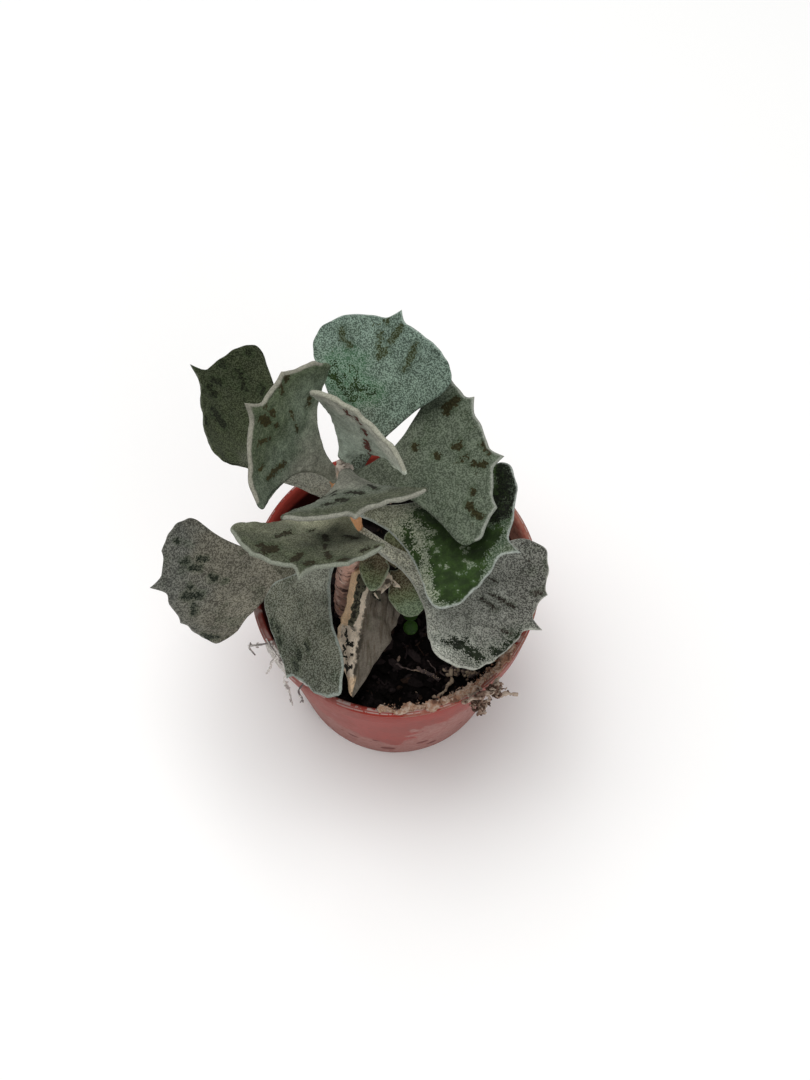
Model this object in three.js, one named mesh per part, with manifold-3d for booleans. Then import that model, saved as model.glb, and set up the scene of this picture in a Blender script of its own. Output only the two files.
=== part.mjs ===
// A kalanchoe rhombopilosa in a small plastic nursery pot.
// Millimetres, +Z up. The origin is the middle of the pot's underside, and -Y is the front.
import * as THREE from 'three';
import { mergeVertices } from 'three/addons/utils/BufferGeometryUtils.js';
import Module from 'manifold-3d';

const wasm = await Module();
wasm.setup();

// Driving dimensions of the pot, in mm
const rimRadius = 27.5;
const potHeight = 48;
const footRadius = 20.7;
const collarHeight = 7;
const collarStep = 1.6;
const collarDraft = 0.6;
const footRounding = 0.6;
const lipHeight = 1.4;
const lipBead = 0.2;
const lipRounding = 0.8;
const wallThickness = 1.3;
const floorThickness = 1.6;
const drainRadius = 2.5;
const drainCircle = 12;
const potSides = 48;

// Driving dimensions of the soil, whose surface is a set of rings at these shares of its radius
const soilLevel = 40;
const soilSides = 40;
const soilRings = [0.9, 0.76, 0.6, 0.44, 0.28, 0.13, 0];
const soilMound = { x: -9, y: -4, height: 1.2, spread: 60 };
const gritCount = 34;

// Clearance between pieces that touch
const gap = 0.3;

// The main stem leans back a little and bends at each pair of leaves: [x, y, z, radius]
const stemPath = [
  [-10, -5, 30, 2.2],
  [-9.5, -4, 40, 2.2],
  [-9, -2, 51, 2],
  [-8, 0, 59, 1.9],
  [-7.5, 1.5, 68, 1.8],
  [-7.5, 2.5, 73, 1.7],
  [-9, 3.5, 78, 1.6],
  [-9.5, 4.5, 82.5, 1.4],
  [-8.5, 5, 85.5, 1.2],
];
const stemSides = 12;

// Leaf blades. A leaf leaves the stem's axis at a height, or starts at a root of its own, with an azimuth,
// a rise and a roll in degrees. lift, cup and sway bend it: the tip's rise above its chord, the wings' rise
// and the tip's swing, in mm, and twist turns the tip, in degrees. body is the length without the end
// tooth. left and right are [place of the widest point, half width, fullness of the margin]. neck is the
// wedge's curve, back rounds the wings, and teeth are [place across the blade, height], the end tooth first.
const petioleHalfWidth = 1.3;
const rimHalfThickness = 0.5;
const coreHalfThickness = 1.2;
const coreThinning = 0.4;
const toothReach = 2.3;
const wingAngle = 125;
const leafRows = [0, 0.07, 0.18, 0.32, 0.48, 0.64, 0.79, 0.91, 1];
const columnStep = 20;
const smallLeafRows = [0, 0.25, 0.55, 0.82, 1];
const smallColumnStep = 36;

const leaves = {
  leaf_top_back: {
    root: [-8.4, 5.5, 87.2], azimuth: 34, rise: 75, roll: 19, lift: 5, cup: 2, sway: -1.5, twist: 1,
    body: 20, left: [17, 8.5, 1.7], right: [15.5, 12, 1.8], neck: 1.8, back: 2.5, teeth: [[0, 1]],
  },
  leaf_top_front: {
    root: [-8.2, 4.5, 84.8], azimuth: -78, rise: 43, roll: 1, lift: 1, cup: 1, sway: -1, twist: 0,
    body: 20, left: [18.5, 12, 2.3], right: [18, 12, 2.3], neck: 1.8, back: 3, teeth: [[0, 3]],
  },
  leaf_upper_left: {
    height: 82, azimuth: 168, rise: 60, roll: -13, lift: 1, cup: 3, sway: 1.5, twist: -1,
    body: 25.5, left: [17.5, 13.5, 1.6], right: [17.5, 13, 2.2], neck: 2.6, back: 2,
    teeth: [[0, 3.5], [-7, 1.5]],
  },
  leaf_upper_right: {
    height: 82, azimuth: -1, rise: 15, roll: 9, lift: 2, cup: 1, sway: 0.5, twist: 1,
    body: 27.5, left: [20, 16, 1.2], right: [23, 14.5, 2.3], neck: 2.4, back: 6,
    teeth: [[0, 2], [10, 1.5], [-8, 1]],
  },
  leaf_back: {
    height: 77, azimuth: 74, rise: 39, roll: -13, lift: 1, cup: 1, sway: -3.5, twist: -5,
    body: 32.5, left: [25, 13, 2.5], right: [25.5, 13.5, 1.7], neck: 1.8, back: 7, teeth: [[0, 2]],
  },
  leaf_front: {
    height: 77, azimuth: -109, rise: 38, roll: 10, lift: 0.5, cup: 2.5, sway: 1.5, twist: 3,
    body: 27.5, left: [21, 12.5, 1.4], right: [20.5, 13.5, 2.2], neck: 1.7, back: 5,
    teeth: [[0.5, 4.5], [7, 1.5], [-8, 1]],
  },
  leaf_back_left: {
    height: 74, azimuth: 143, rise: 17, roll: 20, lift: 2, cup: 3, sway: -0.5, twist: 4,
    body: 34.5, left: [23.5, 14, 1.2], right: [30.5, 11.5, 2.6], neck: 1.5, back: 6.5, teeth: [[0.5, 3]],
  },
  leaf_right: {
    height: 74, azimuth: -20, rise: 16, roll: -7, lift: 1, cup: 1.5, sway: -2.5, twist: 2,
    body: 30, left: [25, 15, 2.1], right: [24, 15, 2], neck: 2.3, back: 7, teeth: [[0, 3.5]],
  },
  leaf_low_left: {
    height: 61.5, azimuth: 186, rise: -18, roll: 6, lift: 2, cup: 4.5, sway: 0, twist: -1,
    body: 37, left: [24, 17, 1.3], right: [30.5, 11.5, 2.3], neck: 3.2, back: 5.5,
    teeth: [[0, 2.5], [-6.5, 0.5], [9, 0.5]],
  },
  leaf_low_right: {
    height: 68, azimuth: -32, rise: -12, roll: -28, lift: 3, cup: 2.5, sway: 1.5, twist: 12,
    body: 35.5, left: [28, 16.5, 2.5], right: [26, 17, 2.2], neck: 3.9, back: 7,
    teeth: [[0.5, 2.5], [7.5, 1]],
  },
  leaf_hanging: {
    height: 67, azimuth: -136, rise: -10, roll: 21, lift: -6, cup: 0, sway: 9.5, twist: 0,
    body: 25.5, left: [21, 14.5, 2.2], right: [19.5, 10, 1.5], neck: 2.9, back: 7.5, teeth: [[-0.5, 1.5]],
  },
};

// Place on the stem's axis at a height, in a straight line between the path's points
function stemPoint(z) {
  let k = 0;
  while (k < stemPath.length - 2 && z > stemPath[k + 1][2]) k += 1;
  const [low, high] = [stemPath[k], stemPath[k + 1]];
  const t = (z - low[2]) / (high[2] - low[2]);
  return new THREE.Vector3(low[0] + t * (high[0] - low[0]), low[1] + t * (high[1] - low[1]), z);
}

// Closed body of a geometry, with only its positions merged and its flat triangles dropped
function toSolid(geometry) {
  const bare = geometry.clone();
  for (const name of Object.keys(bare.attributes)) {
    if (name !== 'position') bare.deleteAttribute(name);
  }
  const merged = mergeVertices(bare, 1e-4);
  const triVerts = [];
  const index = merged.index.array;
  for (let k = 0; k < index.length; k += 3) {
    const [a, b, c] = [index[k], index[k + 1], index[k + 2]];
    if (a !== b && b !== c && c !== a) triVerts.push(a, b, c);
  }
  const mesh = new wasm.Mesh({
    numProp: 3,
    vertProperties: new Float32Array(merged.attributes.position.array),
    triVerts: new Uint32Array(triVerts),
  });
  return new wasm.Manifold(mesh);
}

function toGeometry(solid) {
  const { vertProperties, triVerts } = solid.getMesh();
  const geometry = new THREE.BufferGeometry();
  geometry.setAttribute('position', new THREE.BufferAttribute(new Float32Array(vertProperties), 3));
  geometry.setIndex(Array.from(triVerts));
  geometry.computeVertexNormals();
  return geometry;
}

// The biggest of the separate pieces that a cut leaves
function mainPiece(solid) {
  const pieces = solid.decompose();
  pieces.sort((a, b) => b.volume() - a.volume());
  return pieces[0];
}

function join(solids) {
  return solids.reduce((whole, next) => whole.add(next));
}

function named(name, solid, color, roughness) {
  const material = new THREE.MeshStandardMaterial({ color, roughness, metalness: 0 });
  const mesh = new THREE.Mesh(toGeometry(solid), material);
  mesh.name = name;
  return mesh;
}

// Body turned about the Z axis from [radius, z] points that run up its outside
function turned(points, sides) {
  const lathe = new THREE.LatheGeometry(points.map(([r, z]) => new THREE.Vector2(r, z)), sides);
  return lathe.rotateX(Math.PI / 2);
}

// Round rod of a few sides along a smooth curve through the points
function rod(points, radius, sides, steps) {
  const section = new THREE.Shape();
  for (let k = 0; k < sides; k += 1) {
    const turn = (2 * Math.PI * k) / sides;
    const place = [radius * Math.cos(turn), radius * Math.sin(turn)];
    if (k === 0) section.moveTo(...place);
    else section.lineTo(...place);
  }
  const extrudePath = new THREE.CatmullRomCurve3(points.map((p) => new THREE.Vector3(...p)));
  return toSolid(new THREE.ExtrudeGeometry(section, { steps, extrudePath, bevelEnabled: false }));
}

// Lump with a few flat faces, stretched, tumbled about X and headed about Z
function lump(center, size, tumble, heading) {
  const geometry = new THREE.IcosahedronGeometry(1, 0);
  geometry.scale(...size);
  geometry.rotateX(tumble);
  geometry.rotateZ(heading);
  geometry.translate(...center);
  return toSolid(geometry);
}

// Point at an azimuth in degrees, a distance from the pot's axis and a height
function around(azimuth, radius, z) {
  const turn = THREE.MathUtils.degToRad(azimuth);
  return [radius * Math.cos(turn), radius * Math.sin(turn), z];
}

// Repeatable random numbers from 0 to 1
function dice(seed) {
  let state = seed;
  return () => {
    state = (state * 16807) % 2147483647;
    return state / 2147483647;
  };
}

// Margin of the flat blade at an angle from its end, as [along, across]. From the end to each wing it is
// (cos^(2/fullness), sin^(2/fullness)), and behind the widest point a plain ellipse rounds the wing.
function bodyPoint(leaf, angle) {
  const [widest, half, fullness] = angle >= 0 ? leaf.left : leaf.right;
  const turn = THREE.MathUtils.degToRad(Math.abs(angle));
  const side = Math.sign(angle);
  if (Math.abs(angle) > 90) return [widest + leaf.back * Math.cos(turn), side * half * Math.sin(turn)];
  const power = 2 / fullness;
  const along = widest + (leaf.body - widest) * Math.max(Math.cos(turn), 0) ** power;
  return [along, side * half * Math.sin(turn) ** power];
}

// Angle at which the margin reaches a tooth's place across the blade
function toothAngle(leaf, across) {
  const [, half, fullness] = across >= 0 ? leaf.left : leaf.right;
  const turn = Math.asin((Math.abs(across) / half) ** (fullness / 2));
  return Math.sign(across) * THREE.MathUtils.radToDeg(turn);
}

// The margin with its teeth: each one pushes it out by height (1 - distance / reach)^2
function marginPoint(leaf, angle) {
  const [along, across] = bodyPoint(leaf, angle);
  const fromMiddle = [along - 0.55 * leaf.body, across];
  const distance = Math.hypot(...fromMiddle);
  let push = 0;
  for (const [place, height] of leaf.teeth) {
    const tooth = bodyPoint(leaf, toothAngle(leaf, place));
    const away = Math.hypot(along - tooth[0], across - tooth[1]);
    push += height * Math.max(0, 1 - away / toothReach) ** 2;
  }
  return [along + (push * fromMiddle[0]) / distance, across + (push * fromMiddle[1]) / distance];
}

// Angles of the blade's columns from the left wing to the right, crowded beside each tooth
function marginAngles(leaf) {
  const stepSize = leaf.scale ? smallColumnStep : columnStep;
  const tips = leaf.teeth.map(([place]) => toothAngle(leaf, place)).sort((a, b) => b - a);
  const stops = [wingAngle, ...tips, -wingAngle];
  const angles = [wingAngle];
  for (let k = 1; k < stops.length; k += 1) {
    const span = stops[k - 1] - stops[k];
    const steps = Math.max(3, Math.round(span / stepSize));
    for (let step = 1; step <= steps; step += 1) {
      angles.push(stops[k - 1] - (span * (1 - Math.cos((Math.PI * step) / steps))) / 2);
    }
  }
  return angles;
}

// Unit vectors of a leaf: along its midrib, to its left and up from its face
function leafAxes(leaf) {
  const [azimuth, rise, roll] = [leaf.azimuth, leaf.rise, leaf.roll].map(THREE.MathUtils.degToRad);
  const along = new THREE.Vector3(
    Math.cos(rise) * Math.cos(azimuth),
    Math.cos(rise) * Math.sin(azimuth),
    Math.sin(rise),
  );
  const up = new THREE.Vector3(
    -Math.sin(rise) * Math.cos(azimuth),
    -Math.sin(rise) * Math.sin(azimuth),
    Math.cos(rise),
  );
  up.applyAxisAngle(along, roll);
  return { along, left: up.clone().cross(along), up };
}

// Place of a flat blade's point on the bent leaf: the midrib is a parabola lifted by lift and swung by
// sway at the tip, and the section across it a parabola of depth cup, turned by twist at the tip
function bentPoint(leaf, axes, [along, across]) {
  const t = along / (leaf.body + leaf.teeth[0][1]);
  const halfWidth = (leaf.left[1] + leaf.right[1]) / 2;
  const turn = THREE.MathUtils.degToRad(leaf.twist) * t;
  const dip = leaf.cup * (across / halfWidth) ** 2;
  const sideways = leaf.sway * t * t + across * Math.cos(turn) - dip * Math.sin(turn);
  const upward = leaf.lift * t * t + across * Math.sin(turn) + dip * Math.cos(turn);
  const root = leaf.root ? new THREE.Vector3(...leaf.root) : stemPoint(leaf.height);
  return root
    .addScaledVector(axes.along, along)
    .addScaledVector(axes.left, sideways)
    .addScaledVector(axes.up, upward);
}

// Unit normal of the bent leaf's upper face, from small steps along it and across it
function bentNormal(leaf, axes, [along, across]) {
  const step = 0.05;
  const at = (forward, leftward) => bentPoint(leaf, axes, [along + forward, across + leftward]);
  const forward = at(step, 0).sub(at(-step, 0));
  const leftward = at(0, step).sub(at(0, -step));
  return forward.cross(leftward).normalize();
}

// Flat place of a grid point: rows run out from the stem and columns across the blade. A row's half width
// is petiole + (wing - petiole) row^neck, and the columns spread from even steps into the margin's shape.
function gridPoint(leaf, row, angle) {
  const [along, across] = marginPoint(leaf, angle);
  const wing = Math.abs(marginPoint(leaf, angle >= 0 ? wingAngle : -wingAngle)[1]);
  const petiole = petioleHalfWidth * (leaf.scale ?? 1);
  const halfWidth = petiole + (wing - petiole) * row ** leaf.neck;
  const even = (angle / wingAngle) * halfWidth;
  const shaped = (across / wing) * halfWidth;
  return [row * along, even + (shaped - even) * row * row];
}

// Closed blade with thick middle and thinner rim, as a grid on each face and a strip round the rim
function bladeSolid(leaf) {
  const axes = leafAxes(leaf);
  const angles = marginAngles(leaf);
  const scale = leaf.scale ?? 1;
  const rows = leaf.scale ? smallLeafRows : leafRows;
  const positions = [];
  for (const face of [1, -1]) {
    for (const row of rows) {
      for (const angle of angles) {
        const place = gridPoint(leaf, row, angle);
        const middle = (1 - (angle / wingAngle) ** 2) * (1 - row ** 4);
        const core = coreHalfThickness - coreThinning * row;
        const half = scale * (rimHalfThickness + (core - rimHalfThickness) * middle);
        const point = bentPoint(leaf, axes, place);
        point.addScaledVector(bentNormal(leaf, axes, place), face * half);
        positions.push(point.x, point.y, point.z);
      }
    }
  }
  const columns = angles.length;
  const underside = rows.length * columns;
  const lastRow = (rows.length - 1) * columns;
  const index = [];
  const quad = (a, b, c, d) => index.push(a, b, c, a, c, d);
  for (let start = 0; start < lastRow; start += columns) {
    for (let a = start; a < start + columns - 1; a += 1) {
      const [b, c, d] = [a + 1, a + columns + 1, a + columns];
      quad(a, b, c, d);
      index.push(underside + a, underside + c, underside + b, underside + a, underside + d, underside + c);
    }
    const rightEnd = start + columns - 1;
    quad(start, start + columns, underside + start + columns, underside + start);
    quad(rightEnd + columns, rightEnd, underside + rightEnd, underside + rightEnd + columns);
  }
  for (let column = 0; column < columns - 1; column += 1) {
    const far = lastRow + column;
    quad(far, far + 1, underside + far + 1, underside + far);
    quad(column + 1, column, underside + column, underside + column + 1);
  }
  const geometry = new THREE.BufferGeometry();
  geometry.setAttribute('position', new THREE.Float32BufferAttribute(positions, 3));
  geometry.setIndex(index);
  return toSolid(geometry);
}

// Rod round the stem's path, closed by a flat foot and a blunt tip, and widened all over by a clearance
function stemRod(clearance) {
  const [foot, ...above] = stemPath;
  const [, , topHeight, topRadius] = stemPath[stemPath.length - 1];
  const profile = [[0, foot[2] - clearance], [foot[3] + clearance, foot[2] - clearance]];
  for (const [, , z, radius] of above) profile.push([radius + clearance, z]);
  profile.push([0.6 * topRadius + clearance, topHeight + 1 + clearance], [0, topHeight + 1.3 + clearance]);
  const geometry = turned(profile, stemSides);
  const places = geometry.attributes.position;
  for (let k = 0; k < places.count; k += 1) {
    const axis = stemPoint(places.getZ(k));
    places.setXY(k, places.getX(k) + axis.x, places.getY(k) + axis.y);
  }
  return toSolid(geometry);
}

// Radius of the pot's tapered body below its collar
function bodyRadius(z) {
  return footRadius + ((rimRadius - collarStep - footRadius) * z) / (potHeight - collarHeight);
}

// Tapered pot with a collar that steps out, a beaded lip and four drain holes in its floor
function makePot() {
  const collarFoot = potHeight - collarHeight;
  const innerLip = rimRadius - wallThickness;
  const outline = [
    [0, 0],
    [footRadius - footRounding, 0],
    [footRadius, footRounding],
    [bodyRadius(collarFoot), collarFoot],
    [rimRadius - collarDraft, collarFoot + collarDraft],
    [rimRadius - lipBead, potHeight - lipHeight],
    [rimRadius, potHeight - lipRounding],
    [rimRadius - lipRounding / 2, potHeight],
    [innerLip, potHeight],
    [innerLip - lipRounding / 2, potHeight - lipRounding],
    [bodyRadius(collarFoot) - wallThickness, collarFoot],
    [bodyRadius(floorThickness) - wallThickness, floorThickness],
    [0, floorThickness],
  ];
  let pot = toSolid(turned(outline, potSides));
  for (const azimuth of [45, 135, 225, 315]) {
    const drain = new THREE.CylinderGeometry(drainRadius, drainRadius, 4 * floorThickness, 16);
    drain.rotateX(Math.PI / 2);
    drain.translate(...around(azimuth, drainCircle, floorThickness / 2));
    pot = pot.subtract(toSolid(drain));
  }
  return pot;
}

// Height of the soil's uneven surface: two slow ripples and a slight mound round the stem
function soilHeight(x, y) {
  const ripples = 0.5 * Math.sin(0.45 * x + 1.3) * Math.cos(0.38 * y) + 0.3 * Math.sin(0.9 * x - 0.8 * y);
  const fromMound = (x - soilMound.x) ** 2 + (y - soilMound.y) ** 2;
  return soilLevel + ripples + soilMound.height * Math.exp(-fromMound / soilMound.spread);
}

// Soil body that fills the pot, with grit half sunk in its surface and plain holes for what grows in it.
// The rings of the surface start a hair above the flat edge, and are then raised or sunk to its height.
function makeSoil(growing) {
  const draw = dice(41);
  const hair = 0.01;
  const wallAt = (z) => bodyRadius(z) - wallThickness - gap;
  const bottom = floorThickness + gap;
  const middle = soilLevel / 2;
  const edge = wallAt(soilLevel);
  const outline = [[0, bottom], [wallAt(bottom), bottom], [wallAt(middle), middle], [edge, soilLevel]];
  for (const share of soilRings) outline.push([share * edge, soilLevel + hair]);
  const geometry = turned(outline, soilSides);
  const places = geometry.attributes.position;
  for (let k = 0; k < places.count; k += 1) {
    if (places.getZ(k) > soilLevel) places.setZ(k, soilHeight(places.getX(k), places.getY(k)));
  }
  const lumps = [];
  for (let k = 0; k < gritCount; k += 1) {
    const size = 0.6 + 1.1 * draw() ** 2;
    const [x, y] = around(360 * draw(), (edge - 2.2) * Math.sqrt(draw()), 0);
    const shape = [size * (0.8 + 0.6 * draw()), size * (0.6 + 0.4 * draw()), size * 0.75];
    lumps.push(lump([x, y, soilHeight(x, y) + 0.1 * size], shape, 6 * draw(), 6 * draw()));
  }
  let soil = join([toSolid(geometry), ...lumps]);
  for (const hole of growing) soil = soil.subtract(hole);
  return mainPiece(soil);
}

// Small leaves of the shoot at the stem's foot, on a stalk that comes off the stem
const stalkRadius = 0.9;
const shootStalk = [[-8.3, -0.5, 57.5], [-5.5, 0.7, 57.5], [-2.5, 0.7, 57], [0.5, -0.4, 56]];
const shootLeaf = { roll: 0, cup: 1, sway: 0, twist: 0, scale: 0.7, neck: 0.9, teeth: [[0, 0.3]] };
const shootLeaves = [
  {
    ...shootLeaf, root: [-2.8, 0.8, 57.5], azimuth: -96, rise: 22, lift: -1.5,
    body: 8, left: [4.5, 3, 2], right: [4.5, 3, 2], back: 3,
  },
  {
    ...shootLeaf, root: [0, -0.8, 55.5], azimuth: -62, rise: -18, lift: -1,
    body: 10.5, left: [6.5, 4.5, 2], right: [6.5, 4.5, 2], back: 4,
  },
  {
    ...shootLeaf, root: [-1, -1, 55.5], azimuth: 60, rise: 25, lift: 1,
    body: 8, left: [5, 3, 2], right: [5, 3, 2], back: 3,
  },
];

// Withered leaf scraps that cling under the shoot
const scrap = { cup: 1, scale: 0.6, neck: 0.8, back: 1.5, teeth: [[0, 0.5]] };
const witheredScraps = [
  {
    ...scrap, root: [-2.6, -3.2, 52.4], azimuth: -75, rise: -15, roll: 20, lift: -0.5, sway: 1, twist: 30,
    body: 5, left: [3, 1.8, 1.4], right: [2.5, 1.8, 1.6],
  },
  {
    ...scrap, root: [-3, -3.4, 52.3], azimuth: -110, rise: -8, roll: -20, lift: 0, sway: -1, twist: -30,
    body: 4, left: [2.5, 1.5, 1.6], right: [2.5, 1.5, 1.4],
  },
];

// Dead leaf that hangs folded along its midrib, from the stem down to the pot's wall
const driedLeaf = {
  root: [-6.5, -0.5, 56.5], azimuth: -96, rise: -22, roll: 12, lift: 0, cup: -3.5, sway: 1.5, twist: 0,
  body: 24.5, left: [9, 7, 1.2], right: [14, 3.5, 1.5], neck: 2, back: 6, teeth: [[0, 0.5]],
};

// Seedling: two round seed leaves, one tipped more than the other, on a thread of a stalk
const seedling = { x: 3, y: -7.5, height: 44, stalk: 0.4, leafRadius: 1.4, leafThickness: 0.7 };

function makeSeedling() {
  const { x, y, height, stalk, leafRadius, leafThickness } = seedling;
  const lean = 0.2;
  const stalkPath = [[x, y, soilLevel - 2.5], [x + lean, y, soilLevel + 2], [x, y + lean, height]];
  const parts = [rod(stalkPath, stalk, 6, 5)];
  for (const [side, tilt] of [[-1, 20], [1, -11]]) {
    const leaf = new THREE.CylinderGeometry(leafRadius, leafRadius - 0.2, leafThickness, 12);
    leaf.rotateX(Math.PI / 2);
    leaf.translate(0, side * (leafRadius - 0.1), 0);
    leaf.rotateX(THREE.MathUtils.degToRad(tilt));
    leaf.translate(x, y + lean, height);
    parts.push(toSolid(leaf));
  }
  return join(parts);
}

// Dry crust of lime and roots along the inner side of the pot's lip, at the front and the right: lumps of
// uneven size on a thread, cut off flat where they lie on the lip
const crustArc = [-96, -32];
const crustRadius = rimRadius - 1.6;
const crustThread = 0.6;

function makeCrust() {
  const draw = dice(7);
  const top = potHeight + gap;
  const [start, end] = crustArc;
  const parts = [];
  for (let azimuth = start; azimuth <= end; azimuth += 3.5 + 3 * draw()) {
    const size = 0.7 + 0.5 * draw();
    const place = around(azimuth, crustRadius - 0.4 * draw(), top + 0.6 * size);
    parts.push(lump(place, [size, 1.8 * size, 0.9 * size], draw(), THREE.MathUtils.degToRad(azimuth)));
  }
  const below = new THREE.BoxGeometry(4 * rimRadius, 4 * rimRadius, potHeight);
  below.translate(0, 0, top - potHeight / 2);
  const thread = [0, 0.25, 0.5, 0.75, 1].map((t) => start - 1 + t * (end + 1 - start));
  const route = thread.map((azimuth) => around(azimuth, crustRadius, top + 0.5));
  return mainPiece(join([rod(route, crustThread, 4, 10), ...parts]).subtract(toSolid(below)));
}

// Root threads that spill over the lip, as [azimuth, radius, height] points; the first lies along the lip
const leftRoots = [
  [[-152, 27.1, 48.9], [-146, 27.1, 48.9], [-139, 27.2, 48.9], [-132, 27.1, 48.9], [-126, 27.1, 48.9]],
  [[-143, 27.1, 48.9], [-143, 28.6, 48.2], [-144, 28.7, 45], [-145, 29.6, 41.5]],
  [[-136, 27.2, 48.9], [-135, 28.8, 48], [-133, 29, 44], [-131, 29.6, 38.5]],
  [[-150, 27.2, 48.9], [-151, 29.2, 49.4], [-153, 30.5, 47.5], [-151, 30, 45]],
  [[-128, 27.1, 48.9], [-128, 28.7, 48], [-127, 28.6, 44], [-128, 28.8, 41.5]],
];
const rightRoots = [
  [[-64, 28, 48.9], [-58, 28.4, 49], [-52, 28.4, 49], [-46, 28, 48.9]],
  [[-56, 28.4, 49], [-54, 30, 48.5], [-51, 32, 47], [-48, 35, 48]],
  [[-56, 28.4, 49], [-57, 29.4, 48], [-58, 30, 44], [-57, 30.5, 40]],
  [[-53, 28.4, 49], [-51, 29.6, 49.8], [-47, 31, 50.5], [-45, 30, 52]],
  [[-60, 28.3, 49], [-59, 29.2, 47.5], [-56, 29.5, 45], [-52, 30.5, 45.5]],
];
const rootRadius = 0.45;

function makeRoots(threads) {
  return join(threads.map((points) => rod(points.map((p) => around(...p)), rootRadius, 5, 9)));
}

const stemHole = stemRod(gap);
const part = new THREE.Group();
part.add(named('pot', makePot(), 0xa5473c, 0.5));

const plant = new THREE.Group();
part.add(plant);
plant.add(named('main_stem', stemRod(0), 0x8a6a58, 0.85));
for (const [name, leaf] of Object.entries(leaves)) {
  plant.add(named(name, mainPiece(bladeSolid(leaf).subtract(stemHole)), 0x7d8a80, 0.9));
}
const dried = join([driedLeaf, ...witheredScraps].map(bladeSolid));
plant.add(named('dried_leaf', mainPiece(dried.subtract(stemHole)), 0xb3a083, 0.9));
const shoot = join([rod(shootStalk, stalkRadius, 8, 6), ...shootLeaves.map(bladeSolid)]);
plant.add(named('side_shoot', mainPiece(shoot.subtract(stemHole)), 0x7f9177, 0.9));

const seedlingFoot = [soilLevel - 3, soilLevel + 3].map((z) => [seedling.x, seedling.y, z]);
const seedlingHole = rod(seedlingFoot, 0.9, 8, 2);
part.add(named('soil', makeSoil([stemHole, seedlingHole]), 0x2b211d, 0.95));
part.add(named('seedling', makeSeedling(), 0x2f6b23, 0.6));
part.add(named('rim_crust', makeCrust(), 0xb59c80, 0.95));
part.add(named('roots_left', makeRoots(leftRoots), 0xc9beb0, 0.9));
part.add(named('roots_right', makeRoots(rightRoots), 0x8d6b52, 0.9));

export default part;
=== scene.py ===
# Potted kalanchoe rhombopilosa: felted fan-shaped leaves on a woody stem in a small nursery pot.
# The dictionaries hold mm and degrees, and shapes are turned to metres when their mesh is made.
import itertools
import math

import bpy
import numpy as np
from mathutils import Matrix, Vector


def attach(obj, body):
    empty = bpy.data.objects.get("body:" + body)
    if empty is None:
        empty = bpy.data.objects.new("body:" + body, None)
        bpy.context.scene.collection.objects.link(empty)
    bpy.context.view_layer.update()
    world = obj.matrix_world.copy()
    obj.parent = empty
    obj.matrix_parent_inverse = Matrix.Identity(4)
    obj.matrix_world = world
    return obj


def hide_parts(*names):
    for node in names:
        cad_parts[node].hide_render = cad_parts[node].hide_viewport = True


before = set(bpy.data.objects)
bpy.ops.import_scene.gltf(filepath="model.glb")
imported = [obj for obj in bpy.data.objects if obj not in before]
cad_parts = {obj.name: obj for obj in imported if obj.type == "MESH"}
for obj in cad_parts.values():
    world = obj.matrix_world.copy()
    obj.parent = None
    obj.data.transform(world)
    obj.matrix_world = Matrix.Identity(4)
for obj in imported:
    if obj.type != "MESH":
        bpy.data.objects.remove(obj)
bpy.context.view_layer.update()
metre = 0.001  # one mm
fullTurn = 2 * np.pi
rng = np.random.default_rng


def rgb(text):
    # linear colour of an sRGB text: ((c + 0.055) / 1.055)^2.4
    value = np.array([int(text[k:k + 2], 16) for k in (1, 3, 5)]) / 255
    linear = np.where(value > 0.04045, ((value + 0.055) / 1.055) ** 2.4, value / 12.92)
    return (*linear.tolist(), 1.0)


def unit(vectors):
    # vectors divided by their length
    return vectors / np.linalg.norm(vectors, axis=-1, keepdims=True)


def stacked(*parts):
    # parts side by side on a new last axis, such as x, y and z
    return np.stack(np.broadcast_arrays(*parts), -1)


def shapeOf(points, quads=(), triangles=(), **values):
    # points with faces, and a value or a vector for each point under each name
    return dict(
        points=np.asarray(points, float).reshape(-1, 3),
        quads=np.asarray(quads, int).reshape(-1, 4),
        triangles=np.asarray(triangles, int).reshape(-1, 3),
        values=values,
    )


def joined(shapes):
    # one shape of several, whose values have the same names
    offsets = np.cumsum([0] + [len(shape["points"]) for shape in shapes[:-1]])
    faces = {}
    for kind in ("quads", "triangles"):
        faces[kind] = np.concatenate([shape[kind] + start for shape, start in zip(shapes, offsets)])
    values = {}
    for name in shapes[0]["values"]:
        values[name] = np.concatenate([shape["values"][name] for shape in shapes])
    return shapeOf(np.concatenate([shape["points"] for shape in shapes]), **faces, **values)


def pruned(shape):
    # the shape without the points that no face uses
    used = np.zeros(len(shape["points"]), bool)
    used[shape["quads"]] = True
    used[shape["triangles"]] = True
    index = np.cumsum(used) - 1
    values = {name: value[used] for name, value in shape["values"].items()}
    return shapeOf(shape["points"][used], index[shape["quads"]], index[shape["triangles"]], **values)


def meshOf(name, shape):
    # smooth mesh in metres from a shape in mm
    corners = np.concatenate([shape["quads"].ravel(), shape["triangles"].ravel()])
    counts = np.repeat([4, 3], [len(shape["quads"]), len(shape["triangles"])])
    mesh = bpy.data.meshes.new(name)
    mesh.vertices.add(len(shape["points"]))
    mesh.vertices.foreach_set("co", (shape["points"] * metre).ravel())
    mesh.loops.add(len(corners))
    mesh.loops.foreach_set("vertex_index", corners)
    mesh.polygons.add(len(counts))
    mesh.polygons.foreach_set("loop_start", np.cumsum(counts) - counts)
    mesh.update(calc_edges=True)
    mesh.polygons.foreach_set("use_smooth", np.ones(len(counts), bool))
    for key, value in shape["values"].items():
        vector = value.ndim == 2
        attribute = mesh.attributes.new(key, "FLOAT_VECTOR" if vector else "FLOAT", "POINT")
        attribute.data.foreach_set("vector" if vector else "value", value.ravel())
    return mesh


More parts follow.
